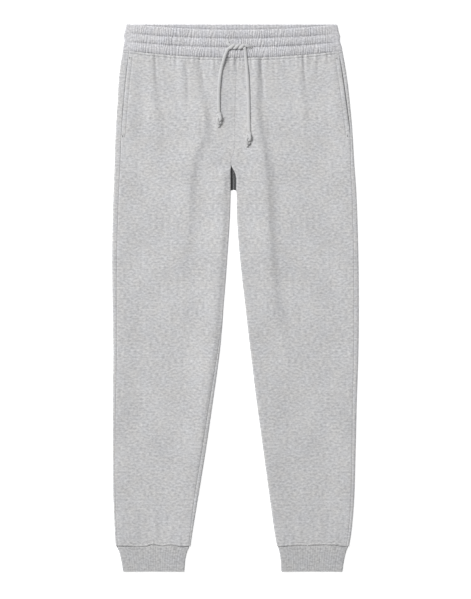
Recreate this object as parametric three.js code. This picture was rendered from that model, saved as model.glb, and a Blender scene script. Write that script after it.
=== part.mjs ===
// Jogger sweatpants laid flat on their back: waist towards +Y, front up, underside on z = 0.
// Every piece of cloth is a thin closed wall, worked out section by section down the garment.
// "Depth" is the distance down from the back waist edge; "right" and "left" are the wearer's.

import * as THREE from "three";
import { mergeVertices } from "three/addons/utils/BufferGeometryUtils.js";

// Driving dimensions, in millimetres
const LENGTH = 1020;
const CLOTH = 2;
const LAYER_GAP = 0.9;
const SEAM_GAP = 0.3;
const FOLD_RADIUS = 3.7;
const BAND_WALL = 3.1;
const BAND_FRONT_HEIGHT = 7.4;
const BAND_DEPTH = 50;
const BAND_CHANNELS = 3;
const BAND_WAVES = 80;
const CUFF_WALL = 2.5;
const CUFF_FRONT_HEIGHT = 5.9;
const CUFF_SEAM_DEPTH = 972.7;
const CUFF_RIBS = 24;
const CROTCH_SPLIT_DEPTH = 262;
const CROTCH_DEPTH = 309;
const PARTING_END_DEPTH = 310.2;
const BACK_RISE_X = -3.4;
const FRONT_DROOP = 13;
const DROOP_HALF_WIDTH = 198;
const DROOP_END_DEPTH = 150;
const CUFF_BOW = 1.6;
const HEM_BOW = 0.5;
const CUFF_BOW_REACH = 40;
const POCKET_LIFT = 1.4;
const CORD_DIAMETER = 5.5;

const FRONT_HEIGHT = 2 * CLOTH + LAYER_GAP;
const HALF_PI = Math.PI / 2;

// How far the rolled-up folds reach over the front, and down the leg before they are fully round
const ROLL_REACH = 56;
const OUTER_EASE = 24;
const INNER_EASE = 20;
const INNER_TURN = 22;
const BACK_TURN = 10;

// Below the waistband the front drops away from it by a step, in soft ripples
const BAND_STEP = 0.6;
const BAND_REACH = 22;
const RIPPLE = { height: 0.7, reach: 26, length: 16.5, drift: 126 };

// The outline: the outer edge of each leg, as laid
const OUTLINE = [
  { depth: 50, right: -210.4, left: 199.6 },
  { depth: 95, right: -216.9, left: 207.4 },
  { depth: 142, right: -219.8, left: 213 },
  { depth: 198, right: -223.5, left: 218 },
  { depth: 262, right: -225.6, left: 221.8 },
  { depth: 310, right: -227.5, left: 225.3 },
  { depth: 365, right: -229.2, left: 227.5 },
  { depth: 440, right: -230, left: 229.4 },
  { depth: 514, right: -229.4, left: 230 },
  { depth: 607, right: -227.9, left: 229.4 },
  { depth: 700, right: -228.7, left: 226.4 },
  { depth: 793, right: -228.8, left: 224.2 },
  { depth: 886, right: -227.7, left: 221.4 },
  { depth: 942, right: -225.3, left: 216.8 },
  { depth: 973, right: -223.4, left: 212.1 },
];

// The inner edge of each leg, from the foot of the centre front seam down
const INNER_OUTLINE = [
  { depth: 262, right: -8.1, left: -8.1 },
  { depth: 267, right: -8.2, left: -6.2 },
  { depth: 273, right: -8.2, left: -3.2 },
  { depth: 280, right: -8.2, left: -0.4 },
  { depth: 288, right: -8.1, left: 1.2 },
  { depth: 310, right: -8.1, left: 1.2 },
  { depth: 365, right: -9.8, left: 2.7 },
  { depth: 440, right: -14.8, left: 8.5 },
  { depth: 514, right: -20.4, left: 16.7 },
  { depth: 607, right: -28.4, left: 27.5 },
  { depth: 700, right: -41, left: 38.8 },
  { depth: 793, right: -54.6, left: 51.5 },
  { depth: 886, right: -69.7, left: 64.1 },
  { depth: 942, right: -78.8, left: 71.9 },
  { depth: 973, right: -83.5, left: 77.2 },
];

// The centre front seam, which curves to the wearer's right above the crotch
const FRONT_RISE = [
  { depth: 50, x: 3 },
  { depth: 168, x: -0.6 },
  { depth: 227, x: -0.8 },
  { depth: 242, x: -4.6 },
  { depth: 252, x: -7.4 },
  { depth: 262, x: -8.1 },
];

// The waistband's side edges, which bulge at its three channels
const BAND_OUTLINE = [
  { depth: 0, right: -203.3, left: 190 },
  { depth: 8, right: -205.1, left: 191.5 },
  { depth: 16, right: -206.9, left: 193.2 },
  { depth: 22, right: -208.4, left: 195.2 },
  { depth: 31, right: -207.2, left: 194.8 },
  { depth: 42, right: -209.4, left: 198 },
  { depth: 50, right: -210.4, left: 199.6 },
];

// The cuffs' edges, drawn in below the seam
const CUFF_OUTLINE = [
  { depth: 973, rightOuter: -222, rightInner: -85, leftInner: 78.6, leftOuter: 210.8 },
  { depth: 977, rightOuter: -219.5, rightInner: -86.8, leftInner: 80.1, leftOuter: 208.7 },
  { depth: 984, rightOuter: -216.5, rightInner: -89.8, leftInner: 81.8, leftOuter: 206.1 },
  { depth: 995, rightOuter: -213.8, rightInner: -92.4, leftInner: 83.5, leftOuter: 203.5 },
  { depth: 1007, rightOuter: -211.5, rightInner: -93.8, leftInner: 84.4, leftOuter: 201.3 },
  { depth: 1020, rightOuter: -209.7, rightInner: -94.8, leftInner: 85, leftOuter: 199.6 },
];

// The side seam's distance in from the outer fold: the back panels wrap round onto the front
const OUTSEAM = [
  { depth: 50, right: 12.6, left: 7.5 },
  { depth: 95, right: 13.6, left: 7 },
  { depth: 150, right: 11.6, left: 5.5 },
  { depth: 205, right: 11.8, left: 4.6 },
  { depth: 280, right: 11, left: 7.5 },
  { depth: 385, right: 10, left: 8.6 },
  { depth: 570, right: 7.5, left: 9 },
  { depth: 830, right: 5, left: 6.5 },
  { depth: 973, right: 4.6, left: 5.6 },
];

// The inseam's distance in from the inner fold, on the front face; below zero it lies underneath
const INSEAM = [
  { depth: 325, right: 0, left: 0 },
  { depth: 360, right: 0, left: -3 },
  { depth: 520, right: 0, left: -3 },
  { depth: 610, right: 6.5, left: -3 },
  { depth: 870, right: 9.5, left: -3 },
  { depth: 973, right: 5, left: -3 },
];

// Pocket openings in the side seams: how far the front edge stands off at mid opening
const POCKET_TOP_DEPTH = 62;
const POCKET_BOTTOM_DEPTH = 207;
const POCKET_OPEN = { right: 0.4, left: 2 };

// The pocket's bag lifts the front: fully to the first distance or depth, fading out at the second
const POCKET_ACROSS = [26, 48];
const POCKET_DOWN = [195, 235];

// The largest drape folds: the crest's route, its height, and the width of the slope on either side
const FOLDS = [
  { height: 2.6, rightwards: 12, leftwards: 20, route: [[58, -155], [110, -154], [170, -150], [235, -146]] },
  { height: 1.6, rightwards: 6, leftwards: 9, route: [[56, -98], [100, -98], [150, -97]] },
  { height: 2.4, rightwards: 12, leftwards: 24,
    route: [[60, -78], [110, -66], [153, -59], [210, -63], [248, -79], [307, -87], [389, -91], [470, -101]] },
  { height: 3.4, rightwards: 10, leftwards: 20,
    route: [[58, 37], [97, 38], [166, 38], [248, 50], [307, 56], [430, 62], [531, 72], [579, 84],
      [650, 92]] },
  { height: 1.8, rightwards: 7, leftwards: 12, route: [[56, 120], [138, 126], [200, 132]] },
];
const FOLD_FADE = 34;
const FOLD_END = 0.45;
const FOLD_GROWTH = { share: 0.45, from: 120, to: 300 };

// The soft ridge beside the right leg's inner fold, flatter towards the ankle
const INNER_RIDGE = { height: 3, inwards: 14, foldWidth: 7.5, legWidth: 30, fadeFrom: 700, fadeTo: 950 };

const SIDES = {
  right: { name: "right", outward: -1, outer: "rightOuter", inner: "rightInner" },
  left: { name: "left", outward: 1, outer: "leftOuter", inner: "leftInner" },
};

// A smooth curve through one column of a table: cubic pieces with each row's slope from its neighbours
function column(table, name, depth) {
  const last = table.length - 1;
  let i = 0;
  while (i < last - 1 && depth > table[i + 1].depth) {
    i += 1;
  }
  const slope = (k) => {
    const before = table[Math.max(k - 1, 0)];
    const after = table[Math.min(k + 1, last)];
    return (after[name] - before[name]) / (after.depth - before.depth);
  };
  const span = table[i + 1].depth - table[i].depth;
  const t = THREE.MathUtils.clamp((depth - table[i].depth) / span, 0, 1);
  const h = t * t * (3 - 2 * t);
  return (1 - h) * table[i][name] + h * table[i + 1][name]
    + span * t * (1 - t) * ((1 - t) * slope(i) - t * slope(i + 1));
}

// A rise from 0 to 1 between two values, level at both ends
const ease = (value, from, to) => THREE.MathUtils.smoothstep(value, from, to);

// The height that the folds add to the front layer at a place
function foldHeight(x, depth) {
  let height = 0;
  for (const fold of FOLDS) {
    const first = fold.route[0][0];
    const end = fold.route[fold.route.length - 1][0];
    if (depth < first - FOLD_FADE || depth > end + FOLD_FADE) {
      continue;
    }
    const rows = fold.route.map(([at, crest]) => ({ depth: at, crest }));
    const off = x - column(rows, "crest", THREE.MathUtils.clamp(depth, first, end));
    const growth = 1 + FOLD_GROWTH.share * ease(depth, FOLD_GROWTH.from, FOLD_GROWTH.to);
    const width = growth * (off < 0 ? fold.leftwards : fold.rightwards);
    const fadeFrom = end - FOLD_END * (end - first);
    const fade = ease(depth, first - FOLD_FADE, first) * (1 - ease(depth, fadeFrom, end + FOLD_FADE));
    height += fold.height * growth * fade * Math.exp(-((off / width) ** 2));
  }
  return height;
}

// How far the front layer sags down the back at mid waist, from nothing at the sides
const bandSag = (x) => FRONT_DROOP * Math.max(0, 1 - (x / DROOP_HALF_WIDTH) ** 2);

// A level arch from 0 through 1 to 0 over the width of a piece
const arch = (across) => Math.sin(Math.PI * THREE.MathUtils.clamp(across, 0, 1));

// A point of the garment, from its distance across, its depth and its height off the floor
const at = (x, depth, z) => new THREE.Vector3(x, LENGTH / 2 - depth, z);

// One leg's cross-section at a depth: places are given by the cloth's own length q round the section,
// from the outer fold's extreme point (q = 0) over the front to the inner fold's extreme point.
class Section {
  constructor(side, depth) {
    this.side = side;
    this.depth = depth;
    this.outer = column(OUTLINE, side.name, depth);
    const split = depth > CROTCH_SPLIT_DEPTH;
    this.inner = split ? column(INNER_OUTLINE, side.name, depth) : column(FRONT_RISE, "x", depth);
    this.width = Math.abs(this.outer - this.inner);
    this.wrap = HALF_PI * ease(depth, CROTCH_SPLIT_DEPTH, CROTCH_SPLIT_DEPTH + INNER_TURN);
    this.crown = FOLD_RADIUS * Math.sin(this.wrap);
    this.quarter = HALF_PI * FOLD_RADIUS;
    this.crownAt = this.quarter + this.width - FOLD_RADIUS - this.crown;
    this.frontLength = this.crownAt + this.wrap * FOLD_RADIUS;
    const parting = ease(depth, CROTCH_DEPTH, PARTING_END_DEPTH);
    this.backWidth = Math.abs(this.outer - THREE.MathUtils.lerp(BACK_RISE_X, this.inner, parting));
    this.backWrap = HALF_PI * ease(depth, CROTCH_DEPTH, CROTCH_DEPTH + BACK_TURN);
    this.backCrown = FOLD_RADIUS * Math.sin(this.backWrap);
    this.backCrownAt = this.quarter + this.backWidth - FOLD_RADIUS - this.backCrown;
    this.backEnd = this.backCrownAt + this.backWrap * FOLD_RADIUS;
  }

  // Height of the front layer's outer face at a distance in from the outer fold
  height(inFromOuter) {
    const x = this.outer - this.side.outward * inFromOuter;
    const inFromInner = this.width - inFromOuter;
    const roll = 2 * FOLD_RADIUS - FRONT_HEIGHT;
    const turned = this.wrap / HALF_PI;
    const near = (distance, reach) => 1 - ease(distance, FOLD_RADIUS, FOLD_RADIUS + reach);
    const rolled = Math.min(near(inFromOuter, ROLL_REACH) + turned * near(inFromInner, ROLL_REACH), 1);
    const level = Math.max(1 - near(inFromOuter, OUTER_EASE) - turned * near(inFromInner, INNER_EASE), 0);
    const belowBand = Math.max(this.depth - BAND_DEPTH - bandSag(x), 0);
    const atBand = (BAND_FRONT_HEIGHT - BAND_STEP - FRONT_HEIGHT) * Math.exp(-belowBand / BAND_REACH);
    const besidePocket = (1 - ease(inFromOuter, ...POCKET_ACROSS)) * (1 - ease(this.depth, ...POCKET_DOWN));
    const overPocket = POCKET_LIFT * besidePocket;
    const phase = (2 * Math.PI * x) / RIPPLE.length + Math.sin((2 * Math.PI * x) / RIPPLE.drift);
    const ripple = RIPPLE.height * Math.exp(-belowBand / RIPPLE.reach) * Math.sin(phase);
    const raised = ripple + overPocket + foldHeight(x, this.depth);
    const ridge = turned * this.innerRidge(inFromInner);
    return FRONT_HEIGHT + roll * rolled + atBand * (1 - rolled) + level * raised + ridge;
  }

  // Height of the ridge beside the inner fold, which only the right leg has
  innerRidge(inFromInner) {
    if (this.side !== SIDES.right) {
      return 0;
    }
    const off = inFromInner - INNER_RIDGE.inwards;
    const width = off < 0 ? INNER_RIDGE.foldWidth : INNER_RIDGE.legWidth;
    const fade = 1 - ease(this.depth, INNER_RIDGE.fadeFrom, INNER_RIDGE.fadeTo);
    return INNER_RIDGE.height * fade * Math.exp(-((off / width) ** 2));
  }

  // A point at q on the outer face, moved inwards by some depth of wall
  place(q, inwards) {
    if (q < this.quarter) {
      const turn = q / FOLD_RADIUS;
      const r = FOLD_RADIUS - inwards;
      return this.point(FOLD_RADIUS - r * Math.cos(turn), FOLD_RADIUS + r * Math.sin(turn));
    }
    if (q <= this.crownAt) {
      const inFromOuter = FOLD_RADIUS + q - this.quarter;
      return this.point(inFromOuter, this.height(inFromOuter) - inwards);
    }
    const turn = (q - this.crownAt) / FOLD_RADIUS;
    const top = this.height(this.width - this.crown);
    const r = FOLD_RADIUS - inwards;
    return this.point(this.width - this.crown + r * Math.sin(turn), top - FOLD_RADIUS + r * Math.cos(turn));
  }

  // A point of either layer: the front hangs lower at mid waist, and both bow up at mid cuff
  point(inFromOuter, z, front = 1) {
    const x = this.outer - this.side.outward * inFromOuter;
    const sag = front * bandSag(x) * (1 - ease(this.depth, BAND_DEPTH, DROOP_END_DEPTH));
    const nearCuff = ease(this.depth, CUFF_SEAM_DEPTH - CUFF_BOW_REACH, CUFF_SEAM_DEPTH);
    const bow = CUFF_BOW * nearCuff * arch(inFromOuter / this.width);
    return at(x, this.depth + sag - bow, z);
  }

  // q of a place on the front at a distance in from the outer fold
  fromEdge(distance) {
    if (distance < FOLD_RADIUS) {
      return FOLD_RADIUS * Math.acos(1 - distance / FOLD_RADIUS);
    }
    return this.quarter + distance - FOLD_RADIUS;
  }

  outseam() {
    return this.fromEdge(column(OUTSEAM, this.side.name, this.depth));
  }

  inseam() {
    return this.depth < INSEAM[0].depth ? 0 : column(INSEAM, this.side.name, this.depth);
  }

  // Half the gap at the inner seams, wider where the wall turns round the fold and its inner face is shorter
  inseamGap() {
    return (SEAM_GAP / 2) * (1 + 0.8 * ease(this.depth, CROTCH_SPLIT_DEPTH, CROTCH_DEPTH));
  }

  pocketOpening() {
    const along = (this.depth - POCKET_TOP_DEPTH) / (POCKET_BOTTOM_DEPTH - POCKET_TOP_DEPTH);
    return along < 0 || along > 1 ? 0 : POCKET_OPEN[this.side.name] * Math.sin(Math.PI * along) ** 0.6;
  }

  // A point of the back layer: b runs from the outer fold's extreme point under the leg to its inner end
  placeBack(b, inwards) {
    if (b < 0) {
      return this.place(-b, inwards);
    }
    const r = FOLD_RADIUS - inwards;
    if (b < this.quarter) {
      const turn = b / FOLD_RADIUS;
      return this.point(FOLD_RADIUS - r * Math.cos(turn), FOLD_RADIUS - r * Math.sin(turn), 0);
    }
    if (b <= this.backCrownAt) {
      return this.point(FOLD_RADIUS + b - this.quarter, inwards, 0);
    }
    if (b <= this.backEnd || this.backWrap < HALF_PI) {
      const turn = (b - this.backCrownAt) / FOLD_RADIUS;
      const inFromOuter = this.backWidth - this.backCrown + r * Math.sin(turn);
      return this.point(inFromOuter, FOLD_RADIUS - r * Math.cos(turn), 0);
    }
    return this.place(this.frontLength - (b - this.backEnd), inwards);
  }
}

// A closed wall between an outer and an inner grid of points that share their edge columns
function wall(outer, inner, ring = false) {
  const vertices = [];
  const faces = [];
  const index = (grid) => grid.map((row) => row.map((p) => vertices.push(p.x, p.y, p.z) / 3 - 1));
  const quad = (a, b, c, d) => faces.push(a, b, c, a, c, d);
  const sheets = [index(outer), index(inner)];
  const columns = outer[0].length;
  const steps = ring ? columns : columns - 1;
  const next = (c) => (c + 1) % columns;
  for (const [layer, rows] of sheets.entries()) {
    for (let r = 0; r < rows.length - 1; r += 1) {
      for (let c = 0; c < steps; c += 1) {
        const corners = [rows[r][c], rows[r + 1][c], rows[r + 1][next(c)], rows[r][next(c)]];
        quad(...(layer ? corners.reverse() : corners));
      }
    }
  }
  const [out, into] = sheets;
  const lastOut = out[out.length - 1];
  const lastIn = into[into.length - 1];
  for (let c = 0; c < steps; c += 1) {
    quad(out[0][c], out[0][next(c)], into[0][next(c)], into[0][c]);
    quad(lastOut[next(c)], lastOut[c], lastIn[c], lastIn[next(c)]);
  }
  if (!ring) {
    for (let r = 0; r < out.length - 1; r += 1) {
      quad(out[r + 1][0], out[r][0], into[r][0], into[r + 1][0]);
      quad(out[r][columns - 1], out[r + 1][columns - 1], into[r + 1][columns - 1], into[r][columns - 1]);
    }
  }
  return closed(vertices, faces);
}

// A geometry from shared points, its faces turned so that they point outwards
function closed(vertices, faces) {
  let volume = 0;
  const p = (i) => new THREE.Vector3(...vertices.slice(3 * i, 3 * i + 3));
  for (let i = 0; i < faces.length; i += 3) {
    volume += p(faces[i]).dot(p(faces[i + 1]).cross(p(faces[i + 2])));
  }
  if (volume < 0) {
    faces.reverse();
  }
  const geometry = new THREE.BufferGeometry();
  geometry.setAttribute("position", new THREE.Float32BufferAttribute(vertices, 3));
  geometry.setIndex(faces);
  geometry.computeVertexNormals();
  return geometry;
}

// Points spaced evenly from one value to another
const steps = (from, to, count) =>
  Array.from({ length: count + 1 }, (_, i) => from + ((to - from) * i) / count);

// Rows down a leg: close together at the waist, the pocket's ends, the crotch and the cuff
const LEG_ROWS = [BAND_DEPTH, 57, 66, 78, 94, 115, 140, 170, 207, 235, 262, 273, 286, 304, 309, 314, 325, 360,
  440, 530, 575, 620, 720, 820, 900, 945, CUFF_SEAM_DEPTH];
const FRONT_COLUMNS = 22;
const BACK_COLUMNS = 4;
const TURN_LENGTH = 8.7;
const half = SEAM_GAP / 2;

// The rows of a leg, the first and the last drawn back from the waistband and the cuff by half a seam gap
const legRows = () => [BAND_DEPTH + half, ...LEG_ROWS.slice(1, -1), CUFF_SEAM_DEPTH - half];

function frontPanel(side) {
  const rows = legRows().map((depth) => {
    const section = new Section(side, depth);
    const from = section.outseam() + half + section.pocketOpening();
    const to = section.frontLength - section.inseam() - section.inseamGap();
    const turnIn = to - TURN_LENGTH;
    const columns = [...steps(from, turnIn, FRONT_COLUMNS), ...steps(turnIn, to, 3).slice(1)];
    return [0, CLOTH].map((inwards) => columns.map((q) => section.place(q, inwards)));
  });
  return wall(rows.map((r) => r[0]), rows.map((r) => r[1]));
}

// The back panel's columns: close together round the two folds, far apart on the flat underside
function backPanel(side) {
  const rows = legRows().map((depth) => {
    const section = new Section(side, depth);
    const wrapped = section.backWrap / HALF_PI;
    const from = half - section.outseam();
    const to = section.backEnd + wrapped * section.inseam() - section.inseamGap();
    const turnOut = section.quarter;
    const turnIn = Math.min(section.backCrownAt, to - TURN_LENGTH);
    const b = [...steps(from, -0.01, 2), ...steps(turnOut / 3, turnOut, 2),
      ...steps(turnOut, turnIn, BACK_COLUMNS).slice(1), ...steps(turnIn, to, BACK_COLUMNS).slice(1)];
    return [0, CLOTH].map((inwards) => b.map((q) => section.placeBack(q, inwards)));
  });
  return wall(rows.map((r) => r[0]), rows.map((r) => r[1]));
}

// The part of the pocket's bag that shows in its opening, behind the front edge
const FACING = { wall: 1, width: 9, behindSeam: 2, pastEnds: 4, below: 0.5, intoFold: 0.4 };
function pocketFacing(side) {
  const depths = steps(POCKET_TOP_DEPTH - FACING.pastEnds, POCKET_BOTTOM_DEPTH + FACING.pastEnds, 7);
  const rows = depths.map((depth) => {
    const section = new Section(side, depth);
    const seam = column(OUTSEAM, side.name, depth);
    const from = Math.max(seam - FACING.behindSeam, FOLD_RADIUS - FACING.intoFold);
    const across = steps(from, seam + FACING.width, 4);
    const top = (e) => section.height(Math.max(e, FOLD_RADIUS)) - CLOTH - FACING.below;
    return [0, FACING.wall].map((inwards) => across.map((e) => section.point(e, top(e) - inwards)));
  });
  return wall(rows.map((r) => r[0]), rows.map((r) => r[1]));
}

// A flattened ring of cloth: a front layer of fine waves over a flat back layer, with rounded folds
const FOLD_ANGLES = [0.8, 0, -0.8];
const WAVE_FADE = 8;
function flatRing({ edges, wallDepth, frontHeight, waves, rows, depthAt, relief }) {
  const radius = frontHeight / 2;
  const across = steps(0, 1, 2 * waves);
  const grid = (inwards, rowList) => rowList.map((row) => {
    const [low, high] = edges(row);
    const r = radius - inwards;
    const flatFrom = low + radius;
    const flatTo = high - radius;
    const front = across.map((u, i) => {
      const x = flatFrom + (flatTo - flatFrom) * u;
      const level = Math.min(1, WAVE_FADE * u, WAVE_FADE * (1 - u));
      return at(x, depthAt(x, row, 1), frontHeight - inwards + (inwards ? 0 : relief(row, i, u) * level));
    });
    const turn = (centre, sign, angles) => angles.map((a) => {
      const x = centre + sign * r * Math.cos(a);
      return at(x, depthAt(x, row, (1 + Math.sin(a)) / 2), radius + r * Math.sin(a));
    });
    const back = steps(flatTo, flatFrom, 8).map((x) => at(x, depthAt(x, row, 0), inwards));
    const leftFold = turn(flatTo, 1, FOLD_ANGLES);
    const rightFold = turn(flatFrom, -1, [...FOLD_ANGLES].reverse());
    return [...front, ...leftFold, ...back, ...rightFold];
  });
  return wall(grid(0, rows), grid(wallDepth, [rows[0], rows[rows.length - 1]]), true);
}

// The waistband: three elastic channels between rows of stitching, all of it gathered
const TOP_DROOP = 0.84;
const CHANNEL_HEIGHT = 1.3;
const GATHER = { height: 0.42, change: 0.16, changes: 23, shift: 3 };
function waistband() {
  return flatRing({
    edges: (row) => ["right", "left"].map((name) => column(BAND_OUTLINE, name, row * BAND_DEPTH)),
    wallDepth: BAND_WALL,
    frontHeight: BAND_FRONT_HEIGHT,
    waves: BAND_WAVES,
    rows: steps(0, 1, 2 * BAND_CHANNELS),
    depthAt: (x, row, front) => {
      const droop = THREE.MathUtils.lerp(TOP_DROOP, 1, row);
      return row * (BAND_DEPTH - half) + front * bandSag(x) * droop;
    },
    relief: (row, i, u) => {
      const channel = CHANNEL_HEIGHT * Math.abs(Math.sin(BAND_CHANNELS * Math.PI * row));
      const gather = GATHER.height + GATHER.change * Math.sin(GATHER.changes * u + GATHER.shift * row);
      return channel + gather * (i % 2 ? 1 : -1);
    },
  });
}

// A rib-knit cuff, its ribs drawn together towards the hem
const RIB_HEIGHT = 0.3;
function cuff(side) {
  const start = CUFF_OUTLINE[0].depth;
  const hem = CUFF_OUTLINE[CUFF_OUTLINE.length - 1].depth;
  const depthOf = (row) => THREE.MathUtils.lerp(start, hem, row);
  const edges = (row) =>
    [side.outer, side.inner].map((name) => column(CUFF_OUTLINE, name, depthOf(row))).sort((a, b) => a - b);
  return flatRing({
    edges,
    wallDepth: CUFF_WALL,
    frontHeight: CUFF_FRONT_HEIGHT,
    waves: CUFF_RIBS,
    rows: [0, 0.12, 0.35, 0.68, 1],
    depthAt: (x, row) => {
      const [low, high] = edges(row);
      return depthOf(row) - THREE.MathUtils.lerp(CUFF_BOW, HEM_BOW, row) * arch((x - low) / (high - low));
    },
    relief: (row, i) => RIB_HEIGHT * (i % 2 ? 1 : -1),
  });
}

// A route whose steps follow its own points, so that they are closest where it turns most
class Route extends THREE.CatmullRomCurve3 {
  getUtoTmapping(u) {
    return u;
  }
}

// The half knot: the two cords twist round each other along a line across the waistband
const TWIST = { from: -11, to: 17, depth: 43.6, height: 15.4, radius: 3.15, turns: 1.5, points: 12 };

// One cord's points along the twist, from -X to +X, starting on its waist side (phase 0) or its leg side (PI)
function twistPoints(phase) {
  return steps(0, 1, TWIST.points).map((u) => {
    const turn = phase + TWIST.turns * 2 * Math.PI * u;
    return [TWIST.from + (TWIST.to - TWIST.from) * u, TWIST.depth - TWIST.radius * Math.cos(turn),
      TWIST.height - TWIST.radius * Math.sin(turn)];
  });
}

// Each cord's route, as x, depth and height: out of its eyelet, through the twist and down the front
const ROUTES = {
  right: [[-11.8, 34.2, 10.5], [-13.4, 34.9, 12.6], [-15.3, 37, 14.4], ...twistPoints(0),
    [19, 49.5, 14.4], [19.4, 57, 13], [20, 67, 12.2], [21.4, 86, 11.2], [22.6, 104, 11], [24, 132, 10.8],
    [24.8, 166, 10.6], [25.2, 185, 10.4], [25.5, 201.5, 10.2]],
  left: [[26.2, 43.6, 10.4], [24.8, 42.2, 12.5], [21.6, 40.6, 14.6], ...twistPoints(Math.PI).reverse(),
    [-15, 49, 14.2], [-19, 55.5, 13], [-23, 66.5, 11.6], [-26.4, 84, 9.6], [-29.2, 103, 8.9],
    [-31.2, 132, 8.5], [-31.2, 152, 8.4], [-30, 166.5, 8.4]],
};

const CORD_SIDES = 8;
function drawcord(points) {
  const route = new Route(points.map(([x, depth, z]) => at(x, depth, z)));
  const section = new THREE.Shape(steps(0, 2 * Math.PI, CORD_SIDES).slice(0, -1).map((a) =>
    new THREE.Vector2(Math.cos(a), Math.sin(a)).multiplyScalar(CORD_DIAMETER / 2)));
  return merged(new THREE.ExtrudeGeometry(section, { steps: 2 * (points.length - 1), extrudePath: route }));
}

function merged(geometry) {
  geometry.deleteAttribute("normal");
  geometry.deleteAttribute("uv");
  const joined = mergeVertices(geometry, 1e-3);
  joined.computeVertexNormals();
  return joined;
}

// An end knot with its cut tail: a turned form, flattened, with the cord's turns raised on it
const KNOT_PROFILE = [[0, 0], [2.6, 0], [4.4, 1.6], [8, 4.6], [9.2, 8.6], [8.2, 12.6], [4.8, 15.6], [2.9, 17],
  [3.1, 20], [2.9, 22.6], [0, 22.8]];
const KNOT_SIDES = 12;
const KNOT_TURNS = { height: 0.1, count: 2, slant: 0.55, from: 3.5, to: 7 };
function endKnot({ start, width, height, turn, z }) {
  const profile = KNOT_PROFILE.map(([r, y]) => new THREE.Vector2(r, -y)).reverse();
  const geometry = new THREE.LatheGeometry(profile, KNOT_SIDES);
  const place = geometry.getAttribute("position");
  for (let i = 0; i < place.count; i += 1) {
    const p = new THREE.Vector3().fromBufferAttribute(place, i);
    const bulging = ease(Math.hypot(p.x, p.z), KNOT_TURNS.from, KNOT_TURNS.to);
    const phase = KNOT_TURNS.count * Math.atan2(p.z, p.x) + KNOT_TURNS.slant * p.y;
    const turns = 1 + KNOT_TURNS.height * bulging * Math.sin(phase);
    place.setXYZ(i, p.x * turns * width, p.y, p.z * turns * height);
  }
  geometry.rotateZ(turn);
  geometry.translate(start[0], LENGTH / 2 - start[1], z);
  return merged(geometry);
}

const fleece = new THREE.MeshStandardMaterial({ color: 0xc6c6c8, roughness: 0.95, metalness: 0 });
const bandCloth = new THREE.MeshStandardMaterial({ color: 0xc4c4c7, roughness: 0.95, metalness: 0 });
const rib = new THREE.MeshStandardMaterial({ color: 0xb5b5b7, roughness: 0.95, metalness: 0 });
const cord = new THREE.MeshStandardMaterial({ color: 0xc9c9cb, roughness: 0.9, metalness: 0 });

const sweatpants = new THREE.Group();
function add(name, geometry, material) {
  const mesh = new THREE.Mesh(geometry, material);
  mesh.name = name;
  sweatpants.add(mesh);
}

add("waistband", waistband(), bandCloth);
for (const side of Object.values(SIDES)) {
  add(`front_${side.name}`, frontPanel(side), fleece);
  add(`back_${side.name}`, backPanel(side), fleece);
  add(`pocket_${side.name}`, pocketFacing(side), fleece);
  add(`cuff_${side.name}`, cuff(side), rib);
  add(`drawcord_${side.name}`, drawcord(ROUTES[side.name]), cord);
}
add("knot_right", endKnot({ start: [25.6, 202], width: 0.9, height: 0.62, turn: 0.12, z: 13.6 }), cord);
add("knot_left", endKnot({ start: [-29.7, 167], width: 1.1, height: 0.62, turn: 0.3, z: 11 }), cord);

export default sweatpants;
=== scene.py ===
"""Jogger sweatpants laid flat on their back, front up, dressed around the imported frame.

Lengths are millimetres until a mesh is made. "Depth" is the distance down from the back waist edge,
"across" runs along x, and "right" and "left" are the wearer's. The underside lies on z = 0.
"""

from __future__ import annotations

import logging
import math
from dataclasses import dataclass, field
from enum import Enum
from typing import Callable

import bpy
import numpy as np
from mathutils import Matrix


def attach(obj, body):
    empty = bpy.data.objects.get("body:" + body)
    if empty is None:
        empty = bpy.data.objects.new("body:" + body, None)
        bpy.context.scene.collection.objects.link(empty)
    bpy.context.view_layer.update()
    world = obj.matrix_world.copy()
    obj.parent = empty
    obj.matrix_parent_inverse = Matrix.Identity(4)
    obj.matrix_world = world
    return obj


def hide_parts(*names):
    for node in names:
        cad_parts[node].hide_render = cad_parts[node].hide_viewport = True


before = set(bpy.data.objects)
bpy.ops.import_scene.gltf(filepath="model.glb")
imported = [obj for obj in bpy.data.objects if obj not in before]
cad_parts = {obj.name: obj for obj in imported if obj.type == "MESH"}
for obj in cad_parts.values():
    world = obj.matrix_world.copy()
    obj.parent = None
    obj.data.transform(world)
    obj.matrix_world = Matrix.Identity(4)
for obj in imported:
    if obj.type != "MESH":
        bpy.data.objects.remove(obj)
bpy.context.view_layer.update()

log = logging.getLogger("sweatpants")

Rule = Callable[..., np.ndarray]
Socket = bpy.types.NodeSocket
Colour = tuple[float, float, float, float] | Socket
Settings = dict[str, object] | None
Sockets = dict[str | int, object] | None

MM = 0.001
HALF_PI = math.pi / 2
UV_NAME = "cloth"

# The laid garment: its layers' thicknesses and heights, its seams and pockets, and how its front hangs
LENGTH = 1020.0
CLOTH = 2.0
SEAM_GAP = 0.06
FRONT_HEIGHT = 4.9
FOLD_RADIUS = 3.7
BAND_WALL = 3.1
BAND_FRONT_HEIGHT = 7.4
BAND_DEPTH = 50.0
CUFF_WALL = 2.5
CUFF_FRONT_HEIGHT = 5.9
CUFF_SEAM_DEPTH = 972.7
CROTCH_SPLIT_DEPTH = 262.0
CROTCH_DEPTH = 309.0
BACK_RISE_X = -3.4
BAND_SIDE_SEAMS = (-202.0, 187.0)
POCKET_TOP_DEPTH = 62.0
POCKET_BOTTOM_DEPTH = 207.0
POCKET_LIFT = 1.4
POCKET_STITCH = 8.0
FRONT_DROOP = 13.0
DROOP_HALF_WIDTH = 198.0
DROOP_END_DEPTH = 150.0
SAG_ROUNDS = 5
CUFF_BOW = 1.6
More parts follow.
